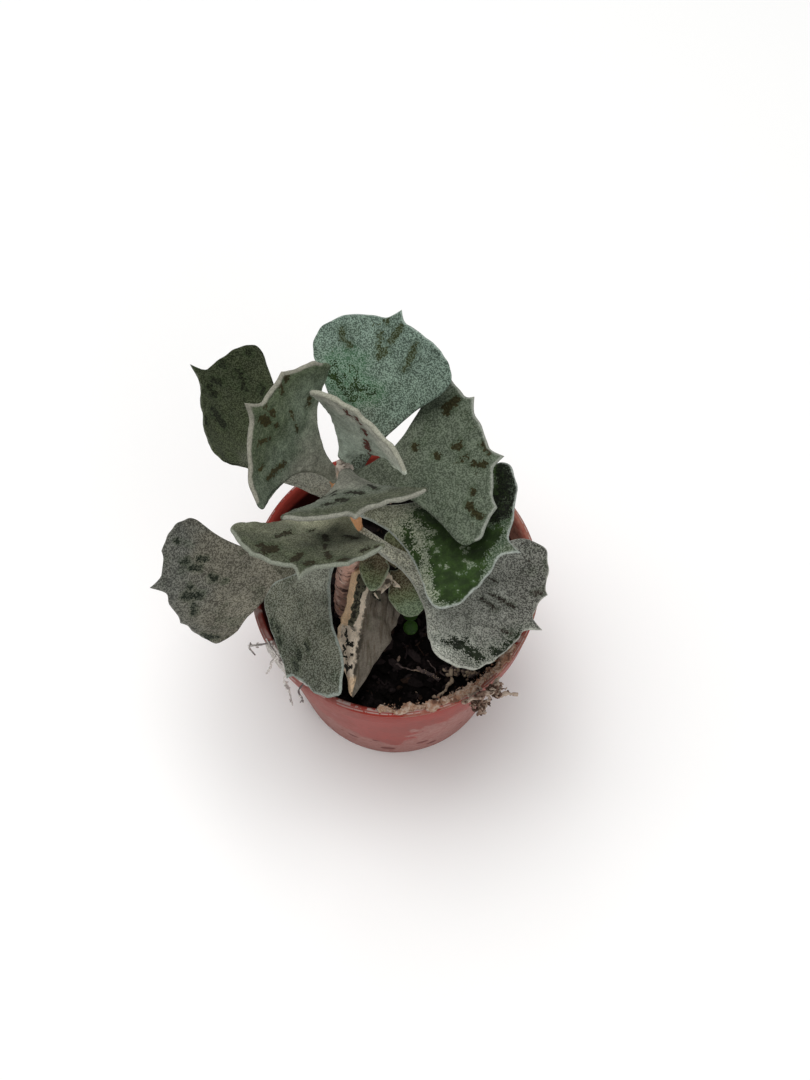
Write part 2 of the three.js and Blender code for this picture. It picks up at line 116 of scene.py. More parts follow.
def addObject(name, data):
    # object at the origin of the scene
    added = bpy.data.objects.new(name, data)
    bpy.context.scene.collection.objects.link(added)
    return added


def addPiece(name, shape, material, node=None, creases=None):
    # object that rides with the pot, and that stands for a CAD node where one is named
    mesh = shape if isinstance(shape, bpy.types.Mesh) else meshOf(name, shape)
    mesh.materials.append(material)
    if creases:
        mesh.set_sharp_from_angle(angle=math.radians(creases))
    piece = addObject(name, mesh)
    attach(piece, "root")
    if node:
        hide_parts(node)


def gridQuads(rows, columns, closed=False):
    # faces of a grid of points kept row after row; closed joins the last column to the first
    row = columns * np.arange(rows - 1)[:, None]
    near = np.arange(columns if closed else columns - 1)
    far = (near + 1) % columns
    return stacked(row + near, row + far, row + columns + far, row + columns + near).reshape(-1, 4)


def closedRings(rings, ends, turned=False):
    # skin over rings of points with a pole at each end; turned says that they run the other way round
    rows, sides = rings.shape[:2]
    near = np.arange(sides)
    far = (near + 1) % sides
    first, last = rows * sides, (rows - 1) * sides
    caps = np.concatenate([stacked(first, far, near), stacked(first + 1, last + near, last + far)])
    order = -1 if turned else 1
    points = np.concatenate([rings.reshape(-1, 3), ends])
    return shapeOf(points, gridQuads(rows, sides, True)[:, ::order], caps[:, ::order])


def revolved(profile, segments):
    # body turned about the Z axis from [radius, height] points that start and end on it
    turn = fullTurn * np.arange(segments) / segments
    radius, height = np.array(profile, float).T[..., None]
    rings = stacked(radius * np.cos(turn), radius * np.sin(turn), height)
    return closedRings(rings[1:-1], rings[[0, -1], 0])


def tubes(paths, radii, sides=5):
    # round tubes along several paths of equal length; the sections turn little, because their side is
    # the path's direction x the axis that this direction keeps away from
    forward = unit(np.gradient(paths, axis=1))
    away = np.eye(3)[np.abs(forward).sum(1).argmin(-1)][:, None]
    side = unit(np.cross(forward, away))
    up = np.cross(side, forward)
    turn = fullTurn * np.arange(sides)[:, None] / sides
    section = np.cos(turn) * side[:, :, None] + np.sin(turn) * up[:, :, None]
    rings = paths[:, :, None] + radii[..., None, None] * section
    shape = joined([closedRings(*pair, True) for pair in zip(rings, paths[:, [0, -1]])])
    count = len(paths)
    shape["values"]["shade"] = np.repeat(rng(count).random(count), len(shape["points"]) // count)
    return shape


def lumps(centres, sizes, draw, uneven=0.18, level=0.0):
    # twenty-sided grains of given half sizes, each dented by uneven and tumbled by the orthonormal factor
    # of a random matrix; level is the share that lies flat on the ground
    golden = (1 + 5 ** 0.5) / 2
    flat = np.array([[0, a, golden * b] for a in (-1, 1) for b in (-1, 1)])
    corners = unit(np.concatenate([np.roll(flat, turn, axis=1) for turn in range(3)]))
    close = np.linalg.norm(corners[:, None] - corners, axis=-1) < 1.1
    faces = []
    for trio in itertools.combinations(range(12), 3):
        if close[np.ix_(trio, trio)].all():
            outward = np.linalg.det(corners[list(trio)]) > 0
            faces.append(trio if outward else trio[::-1])
    count = len(centres)
    dents = 1 + uneven * draw.normal(size=(count, 12, 1))
    local = corners * dents * np.asarray(sizes)[:, None]
    heading = draw.uniform(0, fullTurn, count)
    cosine, sine = np.cos(heading), np.sin(heading)
    headed = stacked(cosine, -sine, 0, sine, cosine, 0, 0, 0, 1).reshape(-1, 3, 3)
    free, _ = np.linalg.qr(draw.normal(size=(count, 3, 3)))
    free = free * np.linalg.det(free)[:, None, None]
    lying = draw.random(count)[:, None, None] < level
    rotation = np.where(lying, headed, free)
    points = np.einsum("nij,nkj->nki", rotation, local) + np.asarray(centres)[:, None]
    triangles = np.array(faces) + 12 * np.arange(count)[:, None, None]
    return shapeOf(points, (), triangles, shade=np.repeat(draw.random(count), 12))


def ripples(points, wavelength, seed, waves=24):
    # smooth uneven field of spread 1: the sum of cos(k.p + phase) sqrt(2 / waves) over random waves k
    draw = rng(seed)
    lengths = wavelength * draw.uniform(0.7, 1.4, (waves, 1))
    vectors = fullTurn * unit(draw.normal(size=(waves, 3))) / lengths
    return np.cos(points @ vectors.T + draw.uniform(0, fullTurn, waves)).sum(-1) * math.sqrt(2 / waves)


def spaced(points, count):
    # count points at even steps along a smooth curve through the points: cubic pieces with the slope of
    # the neighbours' chord
    points = np.asarray(points, float)
    slopes = np.gradient(points, axis=0)
    t = np.linspace(0, len(points) - 1, 12 * len(points))
    k = np.minimum(t.astype(int), len(points) - 2)
    s = (t - k)[:, None]
    curve = (2 * s ** 3 - 3 * s ** 2 + 1) * points[k] + (3 * s ** 2 - 2 * s ** 3) * points[k + 1]
    curve = curve + (s ** 3 - 2 * s ** 2 + s) * slopes[k] + (s ** 3 - s ** 2) * slopes[k + 1]
    run = np.concatenate([[0], np.cumsum(np.linalg.norm(np.diff(curve[:, :3], axis=0), axis=1))])
    even = np.linspace(0, run[-1], count)
    return stacked(*[np.interp(even, run, line) for line in curve.T])


def around(azimuth, radius, height):
    # point at an azimuth in degrees, a distance from the pot's axis and a height
    turn = np.radians(azimuth)
    return stacked(radius * np.cos(turn), radius * np.sin(turn), height)


class Field:
    # number, colour or place that a shader works out over the surface; + - * / on it add maths nodes
    def __init__(self, socket):
        self.socket = socket


def feed(socket, value):
    # links a field to a socket, or sets a plain value or a colour's text on it
    if isinstance(value, Field):
        socket.id_data.links.new(value.socket, socket)
        return
    value = rgb(value) if isinstance(value, str) else value
    socket.default_value = value[:3] if socket.type == "VECTOR" else value


def addNode(tree, kind, inputs, **settings):
    # shader node whose inputs are fields or plain values
    node = tree.nodes.new("ShaderNode" + kind)
    for name, value in settings.items():
        setattr(node, name, value)
    for key, value in inputs.items():
        feed(node.inputs[key], value)
    return node


def worked(kind, inputs, output=0, **settings):
    # output of a new node in the tree of its first field
    tree = next(value.socket.id_data for value in inputs.values() if isinstance(value, Field))
    return Field(addNode(tree, kind, inputs, **settings).outputs[output])


def maths(operation, *values):
    # result of a maths node
    return worked("Math", dict(enumerate(values)), operation=operation)


for name, operation in (("add", "ADD"), ("sub", "SUBTRACT"), ("mul", "MULTIPLY"), ("truediv", "DIVIDE")):
    setattr(Field, f"__{name}__", lambda a, b, kind=operation: maths(kind, a, b))
    setattr(Field, f"__r{name}__", lambda a, b, kind=operation: maths(kind, b, a))


def most(a, b):
    # the larger of two values
    return maths("MAXIMUM", a, b)


def noise(place, size, detail=2.0, seed=0.0, roughness=0.5, squeeze=None):
    # uneven value about 0.5 with features of a size in mm; squeeze scales the place on each axis first
    if squeeze:
        place = worked("VectorMath", {0: place, 1: squeeze}, operation="MULTIPLY")
    inputs = {"Vector": place, "Scale": 1 / size, "Detail": detail, "W": seed, "Roughness": roughness}
    return worked("TexNoise", inputs, noise_dimensions="4D")


def fade(value, start, end, low=0.0, high=1.0):
    # smooth step from low to high while the value goes from start to end
    inputs = {"Value": value, "From Min": start, "From Max": end, "To Min": low, "To Max": high}
    return worked("MapRange", inputs, interpolation_type="SMOOTHSTEP")


def blend(share, a, b):
    # colour a with a share of colour b laid over it
    return worked("Mix", {0: share, 6: a, 7: b}, 2, data_type="RGBA")


def scaled(colour, factor):
    # colour made brighter or darker, or a place made longer, by a factor
    return worked("VectorMath", {0: colour, "Scale": factor}, operation="SCALE")


def reading(tree, name, vector=False):
    # value kept in the mesh under a name
    node = addNode(tree, "Attribute", {}, attribute_name=name, attribute_type="GEOMETRY")
    return Field(node.outputs["Vector" if vector else "Fac"])


def objectPlace(tree):
    # place on the object in mm
    return scaled(Field(addNode(tree, "TexCoord", {}).outputs["Object"]), 1 / metre)


def axes(place):
    # the x, y and z of a place
    node = addNode(place.socket.id_data, "SeparateXYZ", {0: place})
    return [Field(socket) for socket in node.outputs]


def newMaterial(name, sockets):
    # material with its Principled shader's plain values set
    material = bpy.data.materials.new(name)
    material.use_nodes = True
    for key, value in sockets.items():
        feed(material.node_tree.nodes["Principled BSDF"].inputs[key], value)
    return material, material.node_tree


def finished(material, colour, roughness, height, depth, strength=1.0):
    # the material with its colour and roughness, and with a bump whose height of 1 is depth mm
    bump = worked("Bump", {"Height": height, "Distance": depth * metre, "Strength": strength})
    shader = material.node_tree.nodes["Principled BSDF"]
    for key, value in (("Base Color", colour), ("Roughness", roughness), ("Normal", bump)):
        feed(shader.inputs[key], value)
    return material


# stains, scuffs and places of dust and painted light are (azimuth, height, reach), and the beading round the
# lip is (out from the rim, up from the top, rounding). A film's ends are given as from full to none along x,
# y or z.
pot = dict(
    rimRadius=27.5, height=48, footRadius=20.7, collarHeight=7, collarStep=1.6, wall=1.3, floor=1.6,
    beading=[(-0.25, -1.9, 0.15), (-0.4, -1.6, 0.12), (-0.1, -1.3, 0.15), (0, -0.5, 0.3), (-0.45, 0, 0.3)],
    drainRadius=2.5, drainCircle=12, drains=(45, 135, 225, 315), segments=192,
    # inside is painted shade for the inner wall, not a colour of the plastic
    red="#953328", dull="#8a3227", lip="#923930", inside="#2e0f0d", film="#a17e78", stain="#5c2622",
    chalk="#b5a09a", dust="#94685a", roughness=0.34,
    filmRight=dict(x=(2.5, 3.2), y=(-5, -8), z=(29.5, 28), bend=(16, 1.5)),
    filmFront=dict(slope=0.8, z=(11, 9.5), y=(4, -4)), filmAndHighlightLeft=dict(x=(-5, -17), y=(0, -6)),
    stains=[
        (-75, 10, 1.1), (-69, 6, 0.9), (-94, 6, 1.4), (-53, 11.5, 0.8), (-113, 11.5, 0.9), (-100, 14, 0.5),
    ],
    scuffs=[(-146, 46.8, 3), (-142, 46, 2.4), (-171, 47.8, 0.8), (-166, 47.5, 0.6), (-136, 46, 1.4)],
    # patches from azimuth 7 round to 32 reach the inner wall at the back, where they are dust and painted
    # light on its painted shade
    dustAndLight=[
        (-84, 47.1, 1.3), (-77, 46.9, 1.6), (-69, 46.9, 1.8), (-60, 47.8, 1.6), (-50, 47.8, 2.4),
        (-42, 47.8, 2.4), (-34, 47.8, 2.2), (-27, 47.8, 1), (-14, 47.5, 2.4), (-4, 47.7, 2), (7, 47.2, 3),
        (15, 46, 4.2), (24, 45.5, 4.6), (32, 46, 4),
    ],
)
collarFoot = pot["height"] - pot["collarHeight"]
wallSlope = (pot["rimRadius"] - pot["collarStep"] - pot["footRadius"]) / collarFoot


def bodyRadius(z, inset=0.0):
    # radius of the pot's tapered body below its collar
    return pot["footRadius"] + wallSlope * z - inset


def roundedProfile(corners, steps=5):
    # [radius, height, rounding] corners, each rounded by (1-t)^2 a + 2t(1-t) corner + t^2 b between the
    # places a and b at a distance of its rounding before and after it
    corners = np.array(corners, float)
    places, reach = corners[:, :2], corners[1:-1, 2:]
    middle = places[1:-1]
    start = middle + reach * unit(places[:-2] - middle)
    end = middle + reach * unit(places[2:] - middle)
    t = np.linspace(0, 1, steps)[:, None, None]
    curve = (1 - t) ** 2 * start + 2 * t * (1 - t) * middle + t ** 2 * end
    return np.concatenate([places[:1], curve.transpose(1, 0, 2).reshape(-1, 2), places[-1:]])


def potShape():
    # profile up the outside with its stepped collar, a small groove under the lip, and down the inside,
    # turned about Z and slightly out of round
    rim, top, wall, floor = [pot[key] for key in ("rimRadius", "height", "wall", "floor")]
    inner = rim - wall
    corners = [[0, 0, 0], [pot["footRadius"], 0, 0.5], [bodyRadius(collarFoot), collarFoot, 0.25]]
    corners += [[rim - 0.6, collarFoot + 0.5, 0.35]]
    corners += [[rim + out, top + up, rounding] for out, up, rounding in pot["beading"]]
    corners += [[inner + 0.15, top, 0.25], [inner - 0.3, top - 0.7, 0.3]]
    corners += [[bodyRadius(collarFoot, wall), collarFoot, 0.8], [bodyRadius(floor, wall), floor, 0.5]]
    corners += [[0, floor, 0]]
    shape = revolved(roundedProfile(corners), pot["segments"])
    out = shape["points"] * [1, 1, 0]
    shape["points"] += out * (0.05 / rim * ripples(shape["points"], 22, 3))[:, None]
    return shape


def withDrains(shape):
    # the pot's mesh with its drain holes cut by round plugs
    plugs = []
    for azimuth in pot["drains"]:
        plug = revolved([[0, -1], [pot["drainRadius"], -1], [pot["drainRadius"], 3], [0, 3]], 32)
        plug["points"] += around(azimuth, pot["drainCircle"], 0)
        plugs.append(plug)
    solid = addObject("pot_solid", meshOf("pot_solid", shape))
    cutter = addObject("pot_plugs", meshOf("pot_plugs", joined(plugs)))
    cut = solid.modifiers.new("drains", "BOOLEAN")
    cut.object = cutter
    cut.operation = "DIFFERENCE"
    cut.solver = "EXACT"
    mesh = bpy.data.meshes.new_from_object(solid.evaluated_get(bpy.context.evaluated_depsgraph_get()))
    mesh.name = "pot_mesh"
    for helper in (solid, cutter):
        bpy.data.objects.remove(helper)
    return mesh


def potMaterial():
    # red plastic, duller down the body, with a ragged lime film low at the front and the right, dark stains
    # on it, a film on the front left that is partly a painted highlight, a redder lip with a chalky
    # inner edge and a thin chalky line that is partly a painted highlight on its outer edge, a white film on
    # its left, and painted shade darkening the inside, where dust and painted light lift the lit inner wall
    material, tree = newMaterial("pot_plastic", {"Specular IOR Level": 0.12, "IOR": 1.25})
    place = objectPlace(tree)
    x, y, z = axes(place)
    top, foot, inner = pot["height"], pot["footRadius"], pot["rimRadius"] - pot["wall"]
    fine = noise(place, 0.8, 3, 2, 0.6)
    ragged = noise(place, 3.5, 4, 3, 0.6)
    crumbly = noise(place, 1.3, 4, 5, 0.65)
    swing = ragged * 16 - 8
    body = blend(fade(noise(place, 7, 3, 1), 0.35, 0.65), pot["red"], pot["dull"])
    body = blend(fade(z, top - 1.9, top - 1.0), body, pot["lip"])

    def patches(marks, radius, wobble, mask):
        # mask of ragged patches round places on the wall, over another mask
        for azimuth, height, reach in marks:
            centre = tuple(around(azimuth, radius or bodyRadius(height), height))
            away = worked("VectorMath", {0: place, 1: centre}, "Value", operation="DISTANCE")
            away = away + (ragged - 0.5) * wobble
            mask = most(mask, fade(away, reach + 0.25, reach - 0.25))
        return mask

    right, front, left = pot["filmRight"], pot["filmFront"], pot["filmAndHighlightLeft"]
    bendFrom, bend = right["bend"]
    raised = z + most(y + bendFrom, 0) * bend
    corner = fade(x + swing, *right["x"]) * fade(y, *right["y"]) * fade(raised + swing, *right["z"])
    low = fade(z + swing - maths("ABSOLUTE", x) * front["slope"], *front["z"])
    film = most(corner, low) * fade(swing * 2 + y, *front["y"], 0.1, 1)
    # on the front left the film is partly dust and partly a painted highlight
    film = most(film, fade(swing * 1.5 + x, *left["x"], 0, 0.65) * fade(y, *left["y"]))
    body = blend(film * fade(fine, 0.3, 0.7, 0.6, 0.9), body, pot["film"])
    stained = patches(pot["stains"], None, 3, fade(noise(place, 2, 2, 4), 0.7, 0.73))
    body = blend(stained * 0.7, body, pot["stain"])
    flat = worked("VectorMath", {0: place, 1: (1, 1, 0)}, operation="MULTIPLY")
    reach = worked("VectorMath", {0: flat}, "Value", operation="LENGTH")
    wall = reach - z * wallSlope
    # painted shade: the inner wall darkens down from the lip, a little less at the back
    insideShade = blend(fade(z + most(y, 0) * 0.12, top - 1.3, top + 0.2), pot["inside"], pot["lip"])
    body = blend(fade(wall, foot - 0.4, foot - 0.7), body, insideShade)
    edge = fade(z, top - 0.6, top - 0.1) * fade(reach, inner + 0.75, inner + 0.4) * fade(crumbly, 0.44, 0.52)
    # the thin line on the lip's rounded outer edge is partly chalk and partly a painted highlight
    thin = fade(reach, inner + 1.05, inner + 0.95) * fade(reach, inner + 0.75, inner + 0.85)
    thin = thin * fade(z, top - 0.5, top) * fade(crumbly, 0.46, 0.5)
    chalk = patches(pot["scuffs"], pot["rimRadius"] - 0.1, 6, most(edge * fade(y, -8, -15), thin))
    # dust on the lip; on the inner wall, dust and painted light where the wall is lit
    dustable = most(fade(wall, foot + 0.2, foot - 0.1), fade(z, top - 1.7, top - 0.8))
    dustAndLight = patches(pot["dustAndLight"], pot["rimRadius"] - 0.3, 6, 0.0) * dustable
    body = blend(dustAndLight * fade(fine, 0.3, 0.6, 0.4, 0.9), body, pot["dust"])
    body = blend(chalk * 0.85, body, pot["chalk"])
    body = scaled(body, fade(fine, 0.2, 0.8, 0.9, 1.1))
    return finished(material, body, most(film, chalk) * 0.35 + pot["roughness"], fine + chalk, 0.05, 0.5)


addPiece("pot_plastic", withDrains(potShape()), potMaterial(), "pot", creases=50)
print("pot made")


# A root's route is (x, y, height over the soil), and a clod is (x, y, height over the soil). Loose bits are
# (count, spread over the soil, height over it).
soil = dict(
    level=40, foot=1.8, segments=200, rings=70, mound=(-9, -4, 1.2, 60),
    grains=(1300, 23.2, 0.25), chips=(420, 22.5, 0.45), flakes=(70, 21.5, 0.8), twigs=(46, 21, 0.7),
    dark="#0b0807", grey="#282121", brown="#2c201a", pale="#7d6c60",
    roots=[
        [(-0.4, -14.7, 0.7), (0.9, -15.5, 1.1), (2.3, -16.2, 0.8), (3.8, -16.2, 1.0), (5.2, -16.0, 0.9)],
        [(4.3, -15.5, 0.6), (5.3, -16.4, 1.2), (6.6, -17.0, 1.2), (8.6, -17.9, 1.0)],
        [(10.8, -16.2, 2.0), (10.6, -17.6, 1.9), (10.4, -18.8, 1.4), (8.5, -21.2, 1.5), (7.0, -21.9, 1.2)],
        [(6.0, -14.0, 0.5), (7.5, -15.5, 0.9), (7.9, -16.6, 0.8), (9.6, -16.9, 0.6)],
    ],
    rootRadii=[0.13, 0.27, 0.3, 0.1], rootShades=[0.35, 0.15, 0.8, 0.25],
    rootColours=["#574b49", "#6d5e5a", "#a58f7c", "#c0ab94"],
    clods=[(10.6, -16.3, 1.4), (11.5, -15.9, 1.2), (13.8, -17.1, 1.3), (14.8, -17.4, 1.0)], clodGrains=22,
)


def soilHeight(x, y):
    # two slow ripples and a slight mound round the stem
    low = 0.5 * np.sin(0.45 * x + 1.3) * np.cos(0.38 * y) + 0.3 * np.sin(0.9 * x - 0.8 * y)
    moundX, moundY, rise, spread = soil["mound"]
    return soil["level"] + low + rise * np.exp(-((x - moundX) ** 2 + (y - moundY) ** 2) / spread)


def soilShape():
    # turned body whose surface is raised to soilHeight plus crumbs of three sizes
    level, foot = soil["level"], soil["foot"]
    edge = bodyRadius(level, pot["wall"]) + 0.05
    profile = [[0, foot], [bodyRadius(2, pot["wall"]), foot], [edge, level - 1]]
    profile += [[edge * share, level] for share in np.linspace(1, 0, soil["rings"]) ** 0.7]
    shape = revolved(profile, soil["segments"])
    points = shape["points"]
    surface = points[:, 2] > level - 0.5
    spot = points[surface] * [1, 1, 0]
    crumbs = 0.35 * ripples(spot, 4, 11) + 0.22 * ripples(spot, 1.8, 12) + 0.12 * ripples(spot, 0.8, 13)
    points[surface, 2] = soilHeight(spot[:, 0], spot[:, 1]) + crumbs
    return shape


def scattered(bits, draw):
    # places spread evenly over the soil
    count, spread, rise = bits
    radius, turn = spread * np.sqrt(draw.random(count)), draw.uniform(0, fullTurn, count)
    x, y = radius * np.cos(turn), radius * np.sin(turn)
    return stacked(x, y, soilHeight(x, y) + rise)


def soilBits():
    # crumbs, flat chips and flakes of bark, and thin bowed twigs that lie on the soil
    draw = rng(41)
    grains, chips, flakes, twigs = [soil[key] for key in ("grains", "chips", "flakes", "twigs")]
    size = 0.16 + 0.5 * draw.random((grains[0], 1)) ** 2.5
    size = size * draw.uniform(0.6, 1.3, (grains[0], 3))
    shapes = [lumps(scattered(grains, draw), size, draw, 0.25)]
    size = 0.45 + 1.2 * draw.random((chips[0], 1)) ** 1.6
    size = size * draw.uniform([0.8, 0.3, 0.1], [1.1, 0.55, 0.22], (chips[0], 3))
    shapes.append(lumps(scattered(chips, draw), size, draw, 0.14, 0.65))
    size = draw.uniform([1.1, 0.5, 0.1], [2.2, 0.95, 0.2], (flakes[0], 3))
    shapes.append(lumps(scattered(flakes, draw), size, draw, 0.1, 0.85))
    count = twigs[0]
    start = scattered(twigs, draw)[:, None]
    run = draw.uniform(1.2, 4, (count, 1)) * unit(draw.normal(size=(count, 3)) * [1, 1, 0.15])
    t = np.linspace(0, 1, 10)[:, None]
    bow = 0.35 * np.sin(np.pi * t) * draw.normal(size=(count, 1, 3))
    thickness = draw.uniform(0.06, 0.2, (count, 1)) * np.ones(10)
    return joined([*shapes, tubes(start + t * run[:, None] + bow, thickness)])


def soilRoots():
    # pale crusted roots with knobs and bits on them, and clods of grains
    draw = rng(43)
    paths = np.array([spaced(route, 40) for route in soil["roots"]])
    paths[..., 2] += soilHeight(paths[..., 0], paths[..., 1])
    for path in paths:
        path += 0.12 * stacked(*[ripples(path, 1.5, 50 + axis) for axis in range(3)])
    knobs = 1 + 0.3 * ripples(paths.reshape(-1, 3), 0.9, 53).reshape(paths.shape[:2])
    grown = tubes(paths, np.array(soil["rootRadii"])[:, None] * knobs.clip(0.3), 8)
    grown["values"]["shade"] = np.repeat(soil["rootShades"], len(grown["points"]) // len(paths))
    x, y, rise = np.repeat(soil["clods"], soil["clodGrains"], axis=0).T
    centres = stacked(x, y, soilHeight(x, y) + rise)
    centres = centres + draw.normal(size=centres.shape) * [0.65, 0.5, 0.25]
    clods = lumps(centres, draw.uniform(0.18, 0.5, (len(centres), 3)), draw, 0.2)
    bits = paths[1:3, draw.integers(0, 40, 70)].reshape(-1, 3) + 0.15 * draw.normal(size=(140, 3))
    return joined([grown, clods, lumps(bits, draw.uniform(0.06, 0.22, (140, 3)), draw, 0.2)])


def soilMaterial(name, loose):
    # near black peat; loose bits have their own shade, from peat over grey and bark brown to a few pale ones
    material, tree = newMaterial(name, {"Specular IOR Level": 0.08})
    place = objectPlace(tree)
    grain = noise(place, 0.35, 4, 1, 0.7)
    if loose:
        shade = reading(tree, "shade")
        colour = blend(fade(shade, 0.3, 0.8), soil["dark"], soil["grey"])
        colour = blend(fade(shade, 0.82, 0.9), colour, soil["brown"])
        colour = blend(fade(shade, 0.97, 0.99), colour, soil["pale"])
    else:
        colour = blend(fade(noise(place, 2.5, 3, 2), 0.5, 0.7, 0, 0.7), soil["dark"], soil["grey"])
    colour = scaled(colour, fade(grain, 0.25, 0.75, 0.5, 1.6))
    return finished(material, colour, 0.9, grain, 0.15, 0.8)


def crumbMaterial(name, colours):
    # dry bits whose shade runs through the colours
    material, tree = newMaterial(name, {"Specular IOR Level": 0.25})
    place = objectPlace(tree)
    fine = noise(place, 0.25, 3, 1, 0.7)
    shade = reading(tree, "shade") + fade(noise(place, 1.5, 3, 2), 0.3, 0.7, -0.3, 0.3)
    colour = colours[0]
    for k, text in enumerate(colours[1:], 1):
        edge = k / len(colours)
        colour = blend(fade(shade, edge - 0.1, edge + 0.1), colour, text)
    colour = scaled(colour, fade(fine, 0.2, 0.8, 0.75, 1.2))
    return finished(material, colour, 0.92, fine, 0.12)


addPiece("soil_peat", soilShape(), soilMaterial("soil_peat", False), "soil")
addPiece("soil_bits", soilBits(), soilMaterial("soil_bits", True), creases=25)
addPiece("soil_roots", soilRoots(), crumbMaterial("soil_roots", soil["rootColours"]))
print("soil made")


stem = dict(
    path=[
        (-10, -5, 30, 2.2), (-9.5, -4, 40, 2.2), (-9, -2, 51, 2), (-8, 0, 59, 1.9), (-7.5, 1.5, 68, 1.8),
        (-7.5, 2.5, 73, 1.7), (-9, 3.5, 78, 1.6), (-9.5, 4.5, 82.5, 1.4), (-8.5, 5, 85.5, 1.2),
    ],
    joints=(46, 53, 60, 67.5, 74, 77, 82), sides=48, feltFrom=72, tip=86.8, scales=12,
    # light is the colour of painted highlights on the bark
    bark="#cba08f", dark="#57403a", light="#e2cbbd", tan="#c08a5c", felt="#b3aaa0",
)


def stemPoint(z):
    # place on the stem's axis at a height, in straight lines between the path's points
    x, y, height, _ = np.array(stem["path"]).T
    return stacked(np.interp(z, height, x), np.interp(z, height, y), z)


def stemShape():
    # rings round the stem's axis with bark plates below, and a swelling and a scar at each pair of leaves
    tip = stem["tip"]
    height = np.concatenate([np.arange(30, tip - 1, 0.22), tip - 1 + np.linspace(0, 1, 8)])
    turn = fullTurn * np.arange(stem["sides"]) / stem["sides"]
    _, _, pathHeight, pathRadius = np.array(stem["path"]).T
    radius = np.interp(height, pathHeight, pathRadius)
    radius = radius * np.sqrt(1 - (1 - np.clip(tip - height, 0, 1)) ** 2 * 0.999)
    for joint in stem["joints"]:
        radius = radius + 0.16 * np.exp(-((height - joint) / 0.7) ** 2)
        radius = radius - 0.14 * np.exp(-((height - joint - 1.3) / 0.35) ** 2)
    axis = stemPoint(height)
    out = stacked(np.cos(turn), np.sin(turn), 0)
    rings = axis[:, None] + radius[:, None, None] * out
    flat = rings.reshape(-1, 3)
    bark = 0.1 * ripples(flat * [1, 1, 2.2], 2.2, 21) + 0.06 * np.abs(ripples(flat * [1, 1, 3], 1.1, 22))
    strength = np.clip((stem["feltFrom"] - height) / 12, 0.25, 1) * np.minimum(1, radius)
    bark = bark.reshape(len(height), -1) * strength[:, None]
    return closedRings(rings + bark[..., None] * out, axis[[0, -1]])


def budShape():
    # the tip's knob of unopened leaves, small felted scales on a spiral
    count = stem["scales"]
    k = np.arange(count)
    reach = 1.2 - 0.08 * k
    spiral = stacked(reach * np.cos(2.4 * k), reach * np.sin(2.4 * k), 0.16 * k - 0.6)
    sizes = np.outer(np.linspace(1, 0.6, count), [0.62, 0.5, 0.75])
    return lumps(stemPoint(np.array(stem["tip"] - 0.8)) + spiral, sizes, rng(5), 0.1)


def stemMaterial():
    # pinkish brown bark with dark bars, tan glimpses and pale patches of painted highlight, under whitish
    # felt towards the tip
    material, tree = newMaterial("stem_bark", {"Specular IOR Level": 0.3})
    place = objectPlace(tree)
    x, _, z = axes(place)
    fine = noise(place, 0.3, 3, 2, 0.7)
    bars = noise(place, 1.6, 3, 1, 0.6, (0.6, 0.6, 2.2))
    paintedHighlightPatches = noise(place, 1.1, 3, 5, 0.6, (0.8, 0.8, 1.6))
    tanner = noise(place, 2.4, 2, 3) + fade(z, 60, 68, 0, 0.4)
    uneven = noise(place, 1.5, 2, 4) * 14 + z + x * 2.5
    colour = blend(fade(bars, 0.53, 0.63), stem["bark"], stem["dark"])
    # painted highlights: pale pinkish patches laid on the bark
    colour = blend(fade(paintedHighlightPatches, 0.56, 0.64, 0, 0.7), colour, stem["light"])
    colour = blend(fade(tanner, 0.7, 0.76), colour, stem["tan"])
    felted = fade(uneven, stem["feltFrom"] - 8, stem["feltFrom"] - 4, 0.05, 0.95)
    colour = scaled(blend(felted, colour, stem["felt"]), fade(fine, 0.2, 0.8, 0.75, 1.25))
    return finished(material, colour, 0.85, fine, 0.12, 0.7)


barkMaterial = stemMaterial()
addPiece("stem_bark", stemShape(), barkMaterial, "main_stem")
addPiece("stem_bud", budShape(), barkMaterial, creases=50)
print("stem made")


# A blade is laid out flat by rows along it and angles round its margin, and is then bent. Its body is the
# length without the end tooth, left and right are (place of the widest point, half width, fullness), neck
# is the wedge's curve, back rounds the wings, and teeth are (place across, height), the end tooth first.
# Its foot is at a height on the stem, or at a root. Spots and bare patches run from (along, across) to
# (along, across) with a half width, and past the angle rimTo the pale rim ends.
blade = dict(
    rows=58, step=2.2, start=0.8, petiole=1.3, coreHalf=1.2, coreThinning=0.4, toothReach=2.3,
    wing=125, bead=0.45, groove=0.05, crinkle=0.12, relief=0.035, scallop=0.14,
    green="#1b2a0e", greenLight="#2f451a", moss="#2a3720", haze="#3d6a46",
)
farAway = 9.0  # distance kept where a piece has no rim, spots or bare patches


def bodyMargin(leaf, angle):
    # margin without teeth: (cos^(2/fullness), sin^(2/fullness)) ahead of the widest point, and a plain
    # ellipse behind it
    pair = zip(leaf["left"], leaf["right"])
    widest, half, fullness = [np.where(angle >= 0, left, right) for left, right in pair]
    turn = np.radians(np.abs(angle))
    power = 2 / fullness
    ahead = np.abs(angle) <= 90
    reach = (leaf["body"] - widest) * np.maximum(np.cos(turn), 0) ** power
    along = widest + np.where(ahead, reach, leaf["back"] * np.cos(turn))
    across = half * np.where(ahead, np.sin(turn) ** power, np.sin(turn))
    return along, np.sign(angle) * across


def toothAngle(leaf, place):
    # angle at which the margin reaches a tooth's place across the blade
    _, half, fullness = leaf["left"] if place >= 0 else leaf["right"]
    return math.copysign(math.degrees(math.asin((abs(place) / half) ** (fullness / 2))), place)


